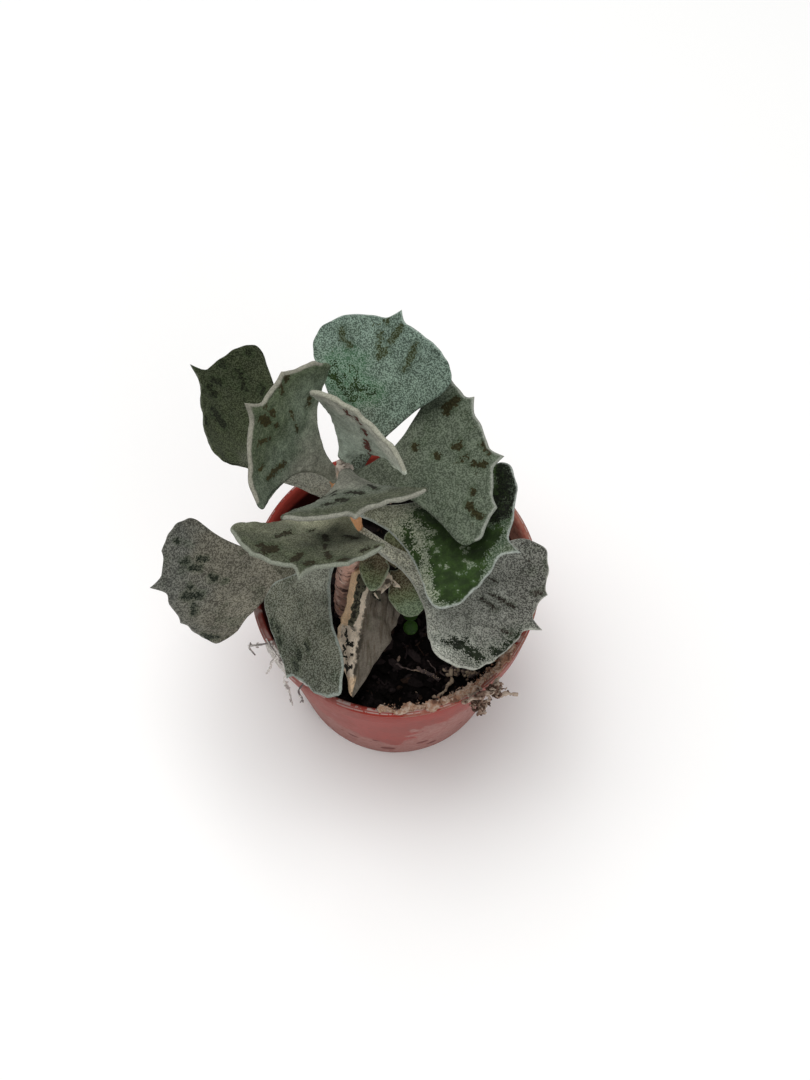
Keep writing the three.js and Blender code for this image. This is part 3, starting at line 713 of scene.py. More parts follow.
def margin(leaf, angle):
    # each tooth pushes the margin out from the middle by height (1 - distance / reach)^2
    along, across = bodyMargin(leaf, angle)
    fromMiddle = along - 0.55 * leaf["body"]
    push = blade["scallop"] * ripples(stacked(along, across, leaf["body"]), 3.2, 9)
    for place, height in leaf["teeth"]:
        toothAlong, toothAcross = bodyMargin(leaf, np.array(toothAngle(leaf, place)))
        away = np.hypot(along - toothAlong, across - toothAcross)
        push = push + height * np.maximum(0, 1 - away / blade["toothReach"]) ** 2
    share = push / np.hypot(fromMiddle, across)
    return along + share * fromMiddle, across + share * across


def marginAngles(leaf, step):
    # angles of the columns from the left wing to the right, crowded towards each tooth and both ends
    tips = sorted((toothAngle(leaf, place) for place, _ in leaf["teeth"]), reverse=True)
    stops = [blade["wing"], *tips, -blade["wing"]]
    angles = [[blade["wing"]]]
    for first, last in zip(stops[:-1], stops[1:]):
        steps = max(6, round((first - last) / step))
        t = np.arange(1, steps + 1) / steps
        crowded = 0.6 * (1 - np.cos(np.pi * t)) / 2 + 0.4 * t
        angles.append(first + (last - first) * crowded)
    return np.concatenate(angles)


def flatGrid(leaf, row, angles):
    # a row's half width is petiole + (wing - petiole) row^neck, and its columns spread from even steps
    # into the margin's shape
    along, across = margin(leaf, angles)
    _, wings = margin(leaf, np.array([blade["wing"], -blade["wing"]], float))
    wing = np.where(angles >= 0, wings[0], -wings[1])
    petiole = blade["petiole"] * leaf.get("scale", 1)
    halfWidth = petiole + (wing - petiole) * row ** leaf["neck"]
    even = angles / blade["wing"] * halfWidth
    return row * along, even + (across / wing * halfWidth - even) * row ** 2


def leafAxes(leaf):
    # unit vectors along the midrib, to its left and up from its face
    azimuth, rise, roll = np.radians([leaf["azimuth"], leaf["rise"], leaf["roll"]])
    heading = np.array([np.cos(azimuth), np.sin(azimuth), 0])
    along = np.cos(rise) * heading + [0, 0, np.sin(rise)]
    up = [0, 0, np.cos(rise)] - np.sin(rise) * heading
    up = up * np.cos(roll) + np.cross(along, up) * np.sin(roll)
    return along, np.cross(up, along), up


def bent(leaf, along, across):
    # the midrib is a parabola lifted by lift and swung by sway at the tip, and the section across it a
    # parabola of depth cup, turned by twist at the tip
    t = along / (leaf["body"] + leaf["teeth"][0][1])
    halfWidth = (leaf["left"][1] + leaf["right"][1]) / 2
    turn = np.radians(leaf["twist"]) * t
    dip = leaf["cup"] * (across / halfWidth) ** 2
    sideways = leaf["sway"] * t * t + across * np.cos(turn) - dip * np.sin(turn)
    upward = leaf["lift"] * t * t + across * np.sin(turn) + dip * np.cos(turn)
    root = np.array(leaf["root"]) if "root" in leaf else stemPoint(np.array(leaf["height"]))
    return root + stacked(along, sideways, upward) @ np.array(leafAxes(leaf))


def bentNormal(leaf, along, across, step=0.05):
    # upper face's normal, from small steps along the blade and across it
    forward = bent(leaf, along + step, across) - bent(leaf, along - step, across)
    leftward = bent(leaf, along, across + step) - bent(leaf, along, across - step)
    return unit(np.cross(forward, leftward))


def distances(places, starts, ends):
    # distance of each place p to each segment a-b: |p - a - t (b - a)|, t = (p - a).(b - a) / |b - a|^2
    run = ends - starts
    offset = places[:, None] - starts
    t = np.clip((offset * run).sum(-1) / np.maximum((run ** 2).sum(-1), 1e-9), 0, 1)
    return np.linalg.norm(offset - t[..., None] * run, axis=-1)


def fromMarks(places, marks):
    # distance to the nearest of the marks' outlines, below 0 inside
    if not marks:
        return np.full(len(places), farAway)
    marks = np.array(marks, float)
    return (distances(places, marks[:, :2], marks[:, 2:4]) - marks[:, 4]).min(-1)


def bladeShape(leaf, seed, rows=blade["rows"], step=blade["step"], wrinkle=0.0):
    # closed blade: both faces leave the bent middle by a half thickness that is round at the margin, has a
    # slight groove behind the rim and swells towards the middle
    scale = leaf.get("scale", 1)
    angles = marginAngles(leaf, step)
    first = blade["start"] / leaf["body"]
    row = (first + (1 - first) * (1 - (1 - np.linspace(0, 1, rows)) ** 1.6))[:, None]
    along, across = flatGrid(leaf, row, angles)
    index = np.arange(along.size).reshape(along.shape)
    outline = np.concatenate([index[0], index[1:, -1], index[-1, -2::-1], index[-2:0:-1, 0]])
    flat = stacked(along.ravel(), across.ravel())
    inward = distances(flat, flat[outline], np.roll(flat[outline], -1, axis=0)).min(-1)
    edge = np.sqrt(1 - (1 - np.minimum(inward / (blade["bead"] * scale), 1)) ** 2)
    middle = (1 - (angles / blade["wing"]) ** 2) * (1 - row ** 4)
    core = blade["coreHalf"] - blade["coreThinning"] * row
    rimHalf = 0.26 + 0.32 * leaf.get("edge", 0.4)
    half = scale * (rimHalf + (core - rimHalf) * middle).ravel()
    half -= scale * blade["groove"] * np.exp(-((inward / scale - 0.95) / 0.35) ** 2)
    place = bent(leaf, along, across).reshape(-1, 3)
    normal = bentNormal(leaf, along, across).reshape(-1, 3)
    wave = blade["crinkle"] * (ripples(place, 8, seed) + 0.5 * ripples(place, 3.5, seed + 1))
    wave = wave + wrinkle * ripples(place, 2.2, seed + 2)
    wave = wave + leaf.get("pleats", 0) * ripples(stacked(0.12 * flat[:, 0], 0.9 * flat[:, 1], 0), 2.6, seed)
    loose = np.clip((along.ravel() - 3) / 6, 0, 1)
    place = place + (wave * loose)[:, None] * normal
    faces = []
    for side in (1, -1):
        relief = blade["relief"] * ripples(place + [0, 0, 40 * side], 1.7, seed + 3)
        faces.append(place + (side * edge * (half + relief))[:, None] * normal)
    underside = np.full(along.size, along.size)
    underside[outline] = 0
    quads = gridQuads(*along.shape)
    quads = np.concatenate([quads, (quads + underside[quads])[:, ::-1]])
    ending = 4 * np.clip((np.abs(angles) - leaf.get("rimTo", blade["wing"])) / 25, 0, 1) + 0 * row
    marks = dict(
        flat=stacked(*flat.T, 0), rim=inward + ending.ravel(),
        spot=fromMarks(flat, leaf.get("spots")), bare=fromMarks(flat, leaf.get("bare")),
    )
    values = {name: np.concatenate([value, value]) for name, value in marks.items()}
    return pruned(shapeOf(np.concatenate(faces), quads, **values))


feltColours = ("Foot", "Felt", "Tint", "Rim", "Stain")
feltNumbers = ("Grain", "Edge", "Body", "Lean", "Green", "Haze", "Seed")


def feltGroup():
    # felted leaf skin: tones from foot over felt to tint along the blade, painted light and shade that lean
    # across it, fine tufts and dark flecks, ragged stained spots with a faint green halo, bare green patches
    # with islands of felt, and a paler rim
    group = bpy.data.node_groups.new("leafFelt", "ShaderNodeTree")
    for name in feltColours:
        group.interface.new_socket(name, in_out="INPUT", socket_type="NodeSocketColor")
    for name in feltNumbers:
        group.interface.new_socket(name, in_out="INPUT", socket_type="NodeSocketFloat")
    for name, kind in (("Colour", "Color"), ("Roughness", "Float"), ("Height", "Float")):
        group.interface.new_socket(name, in_out="OUTPUT", socket_type="NodeSocket" + kind)
    inputs = group.nodes.new("NodeGroupInput").outputs
    foot, felt, tint, rim, stain = [Field(inputs[name]) for name in feltColours]
    grain, rimWidth, body, lean, greenness, hazy, seed = [Field(inputs[name]) for name in feltNumbers]
    place = objectPlace(group)
    flatX, flatY, _ = axes(reading(group, "flat", True))
    patches = noise(place, 1.7, 3, seed, 0.6)
    tuft = noise(place, 0.24, 1, seed)
    tufted = fade(tuft, 0.4, 0.6)

    def shifted(size, detail, swing):
        # noise about 0 with a swing in mm, to break up an outline
        return noise(place, size, detail, seed, 0.6) * swing - swing / 2

    along = flatX / body + shifted(7, 2, 0.5)
    colour = blend(fade(along, 0.35, 0.65), foot, felt)
    colour = blend(fade(along, 0.65, 0.92), colour, tint)
    # painted light and shade: lean makes one side of the blade lighter and the other darker
    colour = scaled(colour, flatY * lean / 13 + 1)
    colour = scaled(colour, fade(patches, 0.3, 0.7, 0.82, 1.18))
    colour = blend(fade(noise(place, 3.5, 2, seed), 0.55, 0.68, 0, 0.3), colour, blade["moss"])
    speckle = grain * fade(tuft, 0.42, 0.58, -1.1, 1.1)
    colour = scaled(colour, 1 + speckle)
    colour = blend(most(speckle, 0) * 0.6, colour, rim)
    fleck = noise(place, 0.6, 2, seed, 0.6) + shifted(4.5, 2, -0.35)
    colour = blend(fade(fleck, 0.33, 0.29) * grain * 1.8, colour, stain)

    barePlace = reading(group, "bare") + shifted(1.0, 4, 2.6) + (tuft - 0.5) * 4
    haze = fade(barePlace, 2.8, 0) * (1 - tufted * 0.4) * hazy
    colour = blend(haze, colour, blade["haze"])
    island = fade(noise(place, 1.7, 4, seed, 0.6), 0.575, 0.6, 0, 0.85)
    bare = fade(barePlace, 0.08, -0.08) * (1 - island)
    green = blend(fade(patches, 0.35, 0.7), blade["green"], blade["greenLight"])
    colour = blend(bare * 0.97, colour, scaled(green, greenness))

    spot = reading(group, "spot")
    halo = fade(spot + shifted(1.6, 2, 2.5), 1.0, 0.1, 0, 0.35)
    colour = blend(halo, colour, blade["moss"])
    solid = fade(tuft, 0.45, 0.62) * fade(grain, 0.22, 0.42, 0, -0.5) + 0.97
    stained = fade(spot + shifted(0.6, 2, 2.6), 0.17, 0.07) * solid
    colour = blend(stained, colour, scaled(stain, tufted * 0.6 + 0.7))

    inward = reading(group, "rim") + shifted(1.2, 3, 0.7)
    colour = blend(fade(inward, rimWidth * 2.2, 0, 0, 0.3), colour, rim)
    rimColour = scaled(rim, fade(tuft, 0.38, 0.62, 0.82, 1.15))
    colour = blend(fade(inward - rimWidth, 0.1, -0.15, 0, 0.92), colour, rimColour)
    result = group.nodes.new("NodeGroupOutput").inputs
    feed(result["Colour"], colour)
    feed(result["Roughness"], fade(bare, 0, 1, 0.92, 0.55))
    feed(result["Height"], (tuft + patches * 0.7) * fade(bare, 0, 1, 1, 0.35))
    return group


feltSkin = feltGroup()


def leafMaterial(name, leaf, seed):
    # the felted skin in a leaf's own tones
    sockets = {"Specular IOR Level": 0.08, "Sheen Weight": leaf.get("sheen", 0.04), "Sheen Roughness": 0.6}
    material, tree = newMaterial(name, sockets)
    given = dict(green=1, haze=0.2, seed=seed) | leaf
    skin = tree.nodes.new("ShaderNodeGroup")
    skin.node_tree = feltSkin
    for socket in feltColours + feltNumbers:
        feed(skin.inputs[socket], given[socket.lower()])
    colour, roughness, height = [Field(skin.outputs[key]) for key in ("Colour", "Roughness", "Height")]
    return finished(material, colour, roughness, height, 0.12)


# A leaf's lean is painted light and shade across its blade: one side lighter, the other darker.
leaves = {
    "leaf_top_back": dict(
        root=(-8.4, 5.5, 87.2), azimuth=34, rise=75, roll=19, lift=5, cup=2, sway=-1.5, twist=1,
        body=20, left=(17, 8.5, 1.7), right=(15.5, 12, 1.8), neck=1.8, back=2.5,
        teeth=[(0, 1)],
        foot="#adb9ab", felt="#a1a99b", tint="#acac9f", rim="#939384",
        stain="#52291f", grain=0.16, edge=0.5, lean=-0.27, rimTo=75,
        spots=[(18.5, 1.5, 18, 1, 0.5), (19, -0.5, 17.5, -1.2, 0.35), (15.5, -2.2, 14.5, -2.6, 0.35),
            (13, -3.5, 11, -4, 0.45), (9.5, -5, 8.5, -5.2, 0.35)],
    ),
    "leaf_top_front": dict(
        root=(-8.2, 4.5, 84.8), azimuth=-78, rise=43, roll=1, lift=1, cup=1, sway=-1, twist=0,
        body=20, left=(18.5, 12, 2.3), right=(18, 12, 2.3), neck=1.8, back=3,
        teeth=[(0, 3)],
        foot="#7e7e73", felt="#646a5e", tint="#4c5040", rim="#85857a",
        stain="#1f1e14", grain=0.22, edge=0.4, lean=0, rimTo=75,
        spots=[(11, 3, 13.5, 4, 0.3), (10, -2.5, 11, -4, 0.3), (10, -5, 11, -5.5, 0.3),
            (12.5, -0.5, 14, 1.5, 0.5), (12, -3, 12, -3, 0.5), (14.5, -2.5, 15.5, -1, 0.4),
            (15.5, -5, 15.5, -3.5, 0.3)],
    ),
    "leaf_upper_left": dict(
        height=82, azimuth=168, rise=60, roll=-13, lift=1, cup=3, sway=1.5, twist=-1,
        body=25.5, left=(17.5, 13.5, 1.6), right=(17.5, 13, 2.2), neck=2.6, back=2,
        teeth=[(0, 3.5), (-7, 1.5)],
        foot="#858679", felt="#5e6958", tint="#4c5740", rim="#868478",
        stain="#2f2b12", grain=0.2, edge=0.45, lean=-0.3, rimTo=75,
        spots=[(24.5, -7.5, 23.5, -7, 0.35), (24.5, -6, 23, -5, 0.15), (17, -7.5, 16, -6, 0.3),
            (19, -3.5, 18, -2.5, 0.2), (17, -2, 16, -1.5, 0.1), (24, 0.5, 23, 0.5, 0.7),
            (23, -1.5, 22.5, -1, 0.25), (21, 0, 21, 0, 0.35), (25, -1.5, 24, -1, 0.2),
            (22.5, 4.5, 20.5, 2.5, 0.25), (20.5, 8, 20, 7.5, 0.2), (18, 8.5, 15, 4.5, 0.35)],
    ),
    "leaf_upper_right": dict(
        height=82, azimuth=-1, rise=15, roll=9, lift=2, cup=1, sway=0.5, twist=1,
        body=27.5, left=(20, 16, 1.2), right=(23, 14.5, 2.3), neck=2.4, back=6,
        teeth=[(0, 2), (10, 1.5), (-8, 1)],
        foot="#505648", felt="#4b5445", tint="#4d5647", rim="#868a80",
        stain="#26230f", grain=0.26, edge=0.35, lean=-0.05, rimTo=75,
        spots=[(21.5, 11, 20, 9.5, 0.7), (22, 3.5, 22, 2.5, 0.4), (21, 3, 21, 3, 0.5),
            (17.5, 2, 18, 1.5, 0.4), (14, 4.5, 14, 3.5, 0.3), (24, -0.5, 26, -1, 0.3),
            (22, 0.5, 23, 1, 0.2), (24, -5, 24, -5.5, 0.4), (23, -7.5, 23.5, -8, 0.4),
            (24, -9, 25, -10, 0.5), (26, 2.5, 27, 1, 0.4)],
    ),
    "leaf_back": dict(
        height=77, azimuth=74, rise=39, roll=-13, lift=1, cup=1, sway=-3.5, twist=-5,
        body=32.5, left=(25, 13, 2.5), right=(25.5, 13.5, 1.7), neck=1.8, back=7,
        teeth=[(0, 2)],
        foot="#555c4f", felt="#627365", tint="#5e6f63", rim="#8b988f",
        stain="#33391f", grain=0.42, edge=0.15, green=0.8, haze=0.52, lean=0.1, rimTo=60,
        spots=[(29.5, -5, 27, -5, 0.5), (26.5, -5, 25, -4.5, 0.3), (26, 0.5, 27, 0, 0.6),
            (29.5, 2, 27, 1, 0.3), (31.5, -1, 29, -0.5, 0.5), (32.5, 2, 32, 1.5, 0.4),
            (26.5, 7, 26, 6.5, 0.3), (28.5, 9, 27, 8, 0.4)],
        bare=[(20.7, 8.2, 19, 5.8, 0.6), (19, 5.8, 17.4, 2.9, 0.5), (17.9, 2.2, 19.8, -0.7, 0.3),
            (21, 5.4, 20.6, 2.6, 0.4), (19.2, 3.8, 19.8, 1.2, 0.6), (22.8, 8.4, 22, 7.4, 0.2),
            (22.8, 5, 22.3, 4.2, 0.3), (25, 6.5, 24.4, 3, -0.5)],
    ),
    "leaf_front": dict(
        height=77, azimuth=-109, rise=38, roll=10, lift=0.5, cup=2.5, sway=1.5, twist=3,
        body=27.5, left=(21, 12.5, 1.4), right=(20.5, 13.5, 2.2), neck=1.7, back=5,
        teeth=[(0.5, 4.5), (7, 1.5), (-8, 1)],
        foot="#97977e", felt="#696b58", tint="#464a38", rim="#808477",
        stain="#241f0f", grain=0.28, edge=0.38, lean=0, rimTo=80,
        spots=[(24.6, -6.6, 23.8, -5.7, 0.9), (24, -7.9, 23.6, -7.9, 0.4), (26.4, -7, 26.2, -6.8, 0.4),
            (20, -6, 17.6, -4.4, 0.35), (16, -1.4, 15.4, -1.2, 0.2), (25.8, -1.6, 24, -0.9, 0.6),
            (16.6, 1.4, 18, 2, 0.4), (19.5, 2.2, 21, 2.6, 0.3), (22.5, 3.2, 24.4, 4, 0.45),
            (27, 0.9, 26.2, 1.8, 0.45), (16.2, 4.6, 17.3, 7.2, 0.35), (25.4, 6.4, 25, 6.8, 0.65),
            (25.3, 8, 24.4, 8.8, 0.4), (22, 9, 21.5, 10, 0.3), (21.5, 11.2, 21.3, 11.6, 0.3)],
    ),
    "leaf_back_left": dict(
        height=74, azimuth=143, rise=17, roll=20, lift=2, cup=3, sway=-0.5, twist=4,
        body=34.5, left=(23.5, 14, 1.2), right=(30.5, 11.5, 2.6), neck=1.5, back=6.5,
        teeth=[(0.5, 3)],
        # the dark felt and tint are partly the leaf's own dark green and partly painted shade at the back of
        # the plant
        foot="#87877b", felt="#383e2a", tint="#2b311e", rim="#55594d",
        stain="#121509", grain=0.38, edge=0.08, lean=0.1, sheen=0.03, rimTo=80,
        spots=[(31.5, -9.5, 31.5, -9.5, 0.5), (30.5, -5.5, 29.5, -5, 0.4), (29, -5, 27.5, -3.5, 0.4),
            (32.5, -0.5, 31.5, -1, 0.6), (32, 1.5, 30.5, 2, 0.5), (28.5, 5.5, 26, 6, 0.8),
            (25.5, -6.5, 25, -5.5, 0.4), (33.5, -4.5, 33, -4, 0.4), (28.5, 8.5, 28, 9, 0.3)],
    ),
    "leaf_right": dict(
        height=74, azimuth=-20, rise=16, roll=-7, lift=1, cup=1.5, sway=-2.5, twist=2,
        body=30, left=(25, 15, 2.1), right=(24, 15, 2), neck=2.3, back=7,
        teeth=[(0, 3.5)],
        foot="#898a76", felt="#6f7160", tint="#4f5846", rim="#969c95",
        # the near black stain and the three wide spots at the top right are partly the blade's own dark
        # green and partly painted shadow of the leaf above
        stain="#0a0c05", grain=0.38, edge=0.22, green=1.02, lean=-0.25, sheen=0.03,
        spots=[(25.5, 14, 26.5, 11, 1.6), (27.5, 10.5, 27.5, 6.5, 1.6), (26, 8, 26.5, 5, 1.2)],
        bare=[(19.6, -3, 24.5, -11, 2.9), (22.5, -3, 27, -9.5, 2.7), (25, 0, 26.5, -8, 2.5),
            (26, 3.5, 26, 9.5, 2), (24.5, 13.5, 27.5, 7, 1.7), (13.8, 1.5, 18.7, -0.8, 1.5),
            (27.5, 2.5, 27, -1.5, 1.7), (12.3, -2.3, 14, -5, 0.9), (15.6, -6.4, 17.1, -8.5, 0.9),
            (18.5, 1.5, 22, 0, 2)],
    ),
    "leaf_low_left": dict(
        height=61.5, azimuth=186, rise=-18, roll=6, lift=2, cup=4.5, sway=0, twist=-1,
        body=37, left=(24, 17, 1.3), right=(30.5, 11.5, 2.3), neck=3.2, back=5.5,
        teeth=[(0, 2.5), (-6.5, 0.5), (9, 0.5)],
        foot="#7a7668", felt="#5d5a4f", tint="#52534d", rim="#77776f",
        stain="#10180f", grain=0.4, edge=0.12, lean=0.08, rimTo=70,
        spots=[(33.4, -7.9, 33.2, -7.9, 0.25), (32.5, -3.9, 32, -3.7, 0.4), (30.8, -2.3, 29.3, -1.9, 0.5),
            (29.4, -3.9, 28.3, -3.5, 0.4), (27.2, 0.4, 26.3, 0.9, 0.45), (24.5, 1.8, 24.3, 1.8, 0.2),
            (32.3, 3.2, 31.6, 3.6, 0.8), (29.9, 3.8, 29.2, 4.2, 0.7), (31.5, 1.4, 31.3, 1.7, 0.35),
            (30.5, 6.2, 30.1, 8, 0.5), (27.4, 14.4, 25.8, 15.5, 0.4), (25.4, 15.7, 23.8, 16.2, 0.35)],
    ),
    "leaf_low_right": dict(
        height=68, azimuth=-32, rise=-12, roll=-28, lift=3, cup=2.5, sway=1.5, twist=12,
        body=35.5, left=(28, 16.5, 2.5), right=(26, 17, 2.2), neck=3.9, back=7,
        teeth=[(0.5, 2.5), (7.5, 1)],
        # the tint is darkened as painted shade from the leaf above
        foot="#bab9a7", felt="#94968d", tint="#66665f", rim="#a3a49a",
        stain="#2e2721", grain=0.45, edge=0.18, green=0.3, haze=0.1, lean=-0.23,
        spots=[(25.2, 5.6, 26.8, 5.5, 0.15), (27.5, 2.3, 31.7, 2.3, 0.3), (26.5, 0.3, 29.3, -0.2, 0.3),
            (34, 7, 35.5, 8.5, 0.4), (33, 14, 34, 12, 0.2), (32.5, -3.5, 34, -3.5, 0.3)],
        bare=[(26.6, -11.8, 31, -11.8, 1.3), (27.8, -9.8, 27.8, -10.5, 0.5), (23.8, -12.8, 26, -13, 0.4),
            (33.1, -9, 34.4, -9, 1.1), (34.2, -9.5, 34.6, -6.5, 0.7), (35, -5, 35.5, -2.5, 0.8)],
    ),
    "leaf_hanging": dict(
        height=67, azimuth=-136, rise=-10, roll=21, lift=-6, cup=0, sway=9.5, twist=0,
        body=25.5, left=(21, 14.5, 2.2), right=(19.5, 10, 1.5), neck=2.9, back=7.5,
        teeth=[(-0.5, 1.5)],
        foot="#8a8c7f", felt="#68695b", tint="#4f5145", rim="#8b928a",
        stain="#1b2017", grain=0.4, edge=0.32, lean=0,
        spots=[(21.5, -5, 21.5, -4.5, 0.4), (23, -4, 23, -3.5, 0.5), (22, 2.5, 22.5, 2.5, 0.5),
            (20, 4, 20.5, 4.5, 0.4), (24, 1.5, 24, 2.5, 0.4), (21.5, -7, 22, -6, 0.2)],
    ),
}
for seed, (name, leaf) in enumerate(leaves.items(), 1):
    addPiece(name + "_blade", bladeShape(leaf, 10 * seed), leafMaterial(name, leaf, seed), name)
print("leaves made:", len(leaves))


# The dead leaf is folded along a line at crease[0] - crease[1] x the way along it. Each scrap lies along
# this fold, where brown and cream mix, at a distance called fold from it.
driedLeaf = dict(
    root=(-6.5, -0.5, 56.5), azimuth=-96, rise=-22, roll=12, lift=0, cup=-3.5, sway=1.5, twist=0,
    body=24.5, left=(9, 7, 1.2), right=(14, 3.5, 1.5), neck=2, back=6, teeth=[(0, 0.5)], pleats=0.3,
    # the tan is lighter than the dry leaf's own colour: painted light where its edge catches the light
    crease=(2.5, 0.11), tan="#f4d2ab", cream="#e0d0bc", band="#5a5848", grey="#787065", brown="#5f564a",
    black="#14130c",
)
scraps = [
    dict(
        root=(-3.2, -6.6, 56), azimuth=46, rise=7, roll=-10, lift=0.4, cup=0.3, sway=0.3, twist=25,
        scale=0.4, body=3.9, left=(2.4, 0.9, 1.5), right=(3, 0.8, 1.4), back=0.8, teeth=[(0, 0.3)],
        fold=0.015,
    ),
    dict(
        root=(-0.7, -4.2, 56.6), azimuth=-28, rise=4, roll=20, lift=-0.3, cup=0.2, sway=-0.4, twist=40,
        scale=0.25, body=2, left=(1, 0.45, 1.4), right=(1, 0.4, 1.4), back=0.4, teeth=[(0, 0.2)], fold=0.015,
    ),
    dict(
        root=(-0.8, -4.3, 56.5), azimuth=106, rise=12, roll=-20, lift=0.2, cup=0.2, sway=0.3, twist=-30,
        scale=0.28, body=2.4, left=(1.2, 0.55, 1.4), right=(1.4, 0.5, 1.4), back=0.4, teeth=[(0, 0.2)],
        fold=0.004,
    ),
    dict(
        root=(-4.3, -5.5, 56.4), azimuth=-58, rise=-14, roll=10, lift=-0.2, cup=0.4, sway=0.2, twist=30,
        scale=0.3, body=2.8, left=(1.4, 0.65, 1.5), right=(1.6, 0.55, 1.4), back=0.5, teeth=[(0.2, 0.3)],
        fold=0.1,
    ),
]


def driedShape():
    # the folded leaf and its scraps
    shapes = [bladeShape(driedLeaf, 300, wrinkle=0.16)]
    for k, scrap in enumerate(scraps):
        shape = bladeShape(dict(neck=0.8) | scrap, 310 + k, 20, 6, 0.1)
        flat = shape["values"]["flat"]
        flat[:, 1] = driedLeaf["crease"][0] - driedLeaf["crease"][1] * flat[:, 0] - scrap["fold"]
        shapes.append(shape)
    return joined(shapes)


def driedMaterial():
    # dead leaf: grey-brown right of its fold; left of the fold a cream strip, a dull band and an orange-tan
    # edge, made lighter as painted light, that widen along the leaf, and black blotches on the cream towards
    # the tip
    material, tree = newMaterial("dried_leaf", {"Specular IOR Level": 0.3})
    place = objectPlace(tree)
    flat = reading(tree, "flat", True)
    along, across, _ = axes(flat)
    streaks = noise(flat, 0.8, 3, 2, 0.6, (0.2, 1.5, 1))
    fine = noise(place, 0.3, 3, 3, 0.7)
    mottled = noise(place, 1.4, 3, 5, 0.6)
    wander = noise(place, 1.6, 4, 1, 0.6) * 2 - 1
    left = driedLeaf["crease"][0] - along * driedLeaf["crease"][1] - across
    share = left / most(left + reading(tree, "rim"), 0.3) + wander * 0.25
    grey, brown, band, cream, tan, black = [
        driedLeaf[key] for key in ("grey", "brown", "band", "cream", "tan", "black")
    ]
    face = blend(fade(streaks, 0.4, 0.6), brown, grey)
    face = blend(fade(mottled, 0.44, 0.34, 0, 0.5), face, band)
    face = blend(fade(streaks, 0.4, 0.35, 0, 0.55), face, black)
    speckled = blend(fade(noise(place, 0.6, 2, 6), 0.5, 0.54, 0, 0.85), band, black)
    side = blend(fade(share, 0.2, 0.24), cream, speckled)
    side = blend(fade(share, 0.52, 0.56), side, tan)
    side = blend(fade(along + wander * 2, 11.6, 12.1), side, cream)
    side = blend(fade(share, 0.85, 0.95, 0, 0.5), side, tan)
    lower = fade(along, 11, 13)
    blotch = fade(noise(place, 1.3, 3, 4, 0.65), 0.5, 0.515) * lower
    side = blend(blotch * fade(share, 0.08, 0.2) * fade(share, 0.9, 0.78), side, black)
    colour = blend(fade(share, -0.03, 0.04), face, side)
    colour = blend(fade(along, 20.5, 22, 0, 0.8) * fade(share, -0.5, -0.2), colour, tan)
    seam = fade(share, -0.3, -0.1) * fade(share, 0.12, 0) * lower * fade(mottled, 0.45, 0.52)
    colour = blend(seam, colour, np.mean([rgb(black), rgb(brown)], axis=0).tolist())
    colour = scaled(colour, fade(fine, 0.2, 0.8, 0.75, 1.25))
    return finished(material, colour, 0.8, fine + streaks, 0.2)


addPiece("dried_leaf_blade", driedShape(), driedMaterial(), "dried_leaf")


shoot = dict(
    stalk=[(-8.3, -0.5, 57.5), (-5.5, 0.7, 57.5), (-2.5, 0.7, 57), (0.5, -0.4, 56)], radius=0.9,
    # the brown foot is partly the blades' own colour and partly painted shade near the stalk
    foot="#675d48", felt="#6f7757", tint="#7c8c70", rim="#959d86", stain="#2c3020", grain=0.35, edge=0.1,
    body=9, lean=0, spread=dict(roll=0, cup=1, sway=0, twist=0, scale=0.7, neck=0.9, teeth=[(0, 0.3)]),
    blades=[
        dict(
            root=(-2.8, 0.8, 57.5), azimuth=-101, rise=22, lift=-1.5, body=7.6, left=(4.2, 2.5, 1.9),
            right=(4.2, 2.8, 2), back=3,
        ),
        dict(
            root=(0, -0.8, 55.5), azimuth=-62, rise=-18, lift=-1, body=9.7, left=(6, 4.5, 2),
            right=(6.2, 3.8, 2), back=4,
        ),
        dict(
            root=(-1, -1, 55.5), azimuth=60, rise=25, lift=1, body=8, left=(5, 3, 2),
            right=(5, 3, 2), back=3,
        ),
    ],
)


def shootShape():
    # small blades on a stalk, whose values say that it has no rim, spots or bare patches
    stalk = tubes(spaced(shoot["stalk"], 40)[None], np.full((1, 40), shoot["radius"]), 20)
    far = np.full(len(stalk["points"]), farAway)
    stalk["values"] = dict(flat=stalk["points"], rim=far, spot=far, bare=far)
    blades = [bladeShape(shoot["spread"] | leaf, 400 + k, 36, 4) for k, leaf in enumerate(shoot["blades"])]
    return joined([stalk, *blades])


addPiece("side_shoot_blades", shootShape(), leafMaterial("side_shoot", shoot, 40), "side_shoot")
print("dried leaf and side shoot made")


seedling = dict(
    x=3, y=-7.5, height=44, foot=37.5, stalk=0.4, lean=0.2, leafRadius=1.4, leafThickness=0.7,
    tilts=((-1, 20), (1, -11)), green="#294711", dark="#1e350e", stalkGreen="#4f672b",
)


def seedlingShape():
    # two round seed leaves, domed above and hollowed towards the stalk, on a thread of a stalk
    x, y, height, lean, radius = [seedling[key] for key in ("x", "y", "height", "lean", "leafRadius")]
    path = spaced([(x, y, seedling["foot"]), (x + lean, y, height - 2), (x, y + lean, height)], 24)
    shapes = [tubes(path[None], np.linspace(1, 0.75, 24)[None] * seedling["stalk"], 14)]
    bulge = np.linspace(0, np.pi, 19)
    profile = stacked(radius * np.sin(bulge) ** 0.8, -0.5 * seedling["leafThickness"] * np.cos(bulge))
    for side, tilt in seedling["tilts"]:
        leaf = revolved(profile, 48)
        points = leaf["points"]
        points[:, 2] += 0.1 * (points[:, 1] / radius) ** 2
        points[:, 1] += side * (radius - 0.1)
        turn = math.radians(tilt)
        points[:, 1:] = points[:, 1:] @ [[np.cos(turn), np.sin(turn)], [-np.sin(turn), np.cos(turn)]]
        points += [x, y + lean, height]
        leaf["values"] = dict(shade=np.full(len(points), 0.5))
        shapes.append(leaf)
    return joined(shapes)


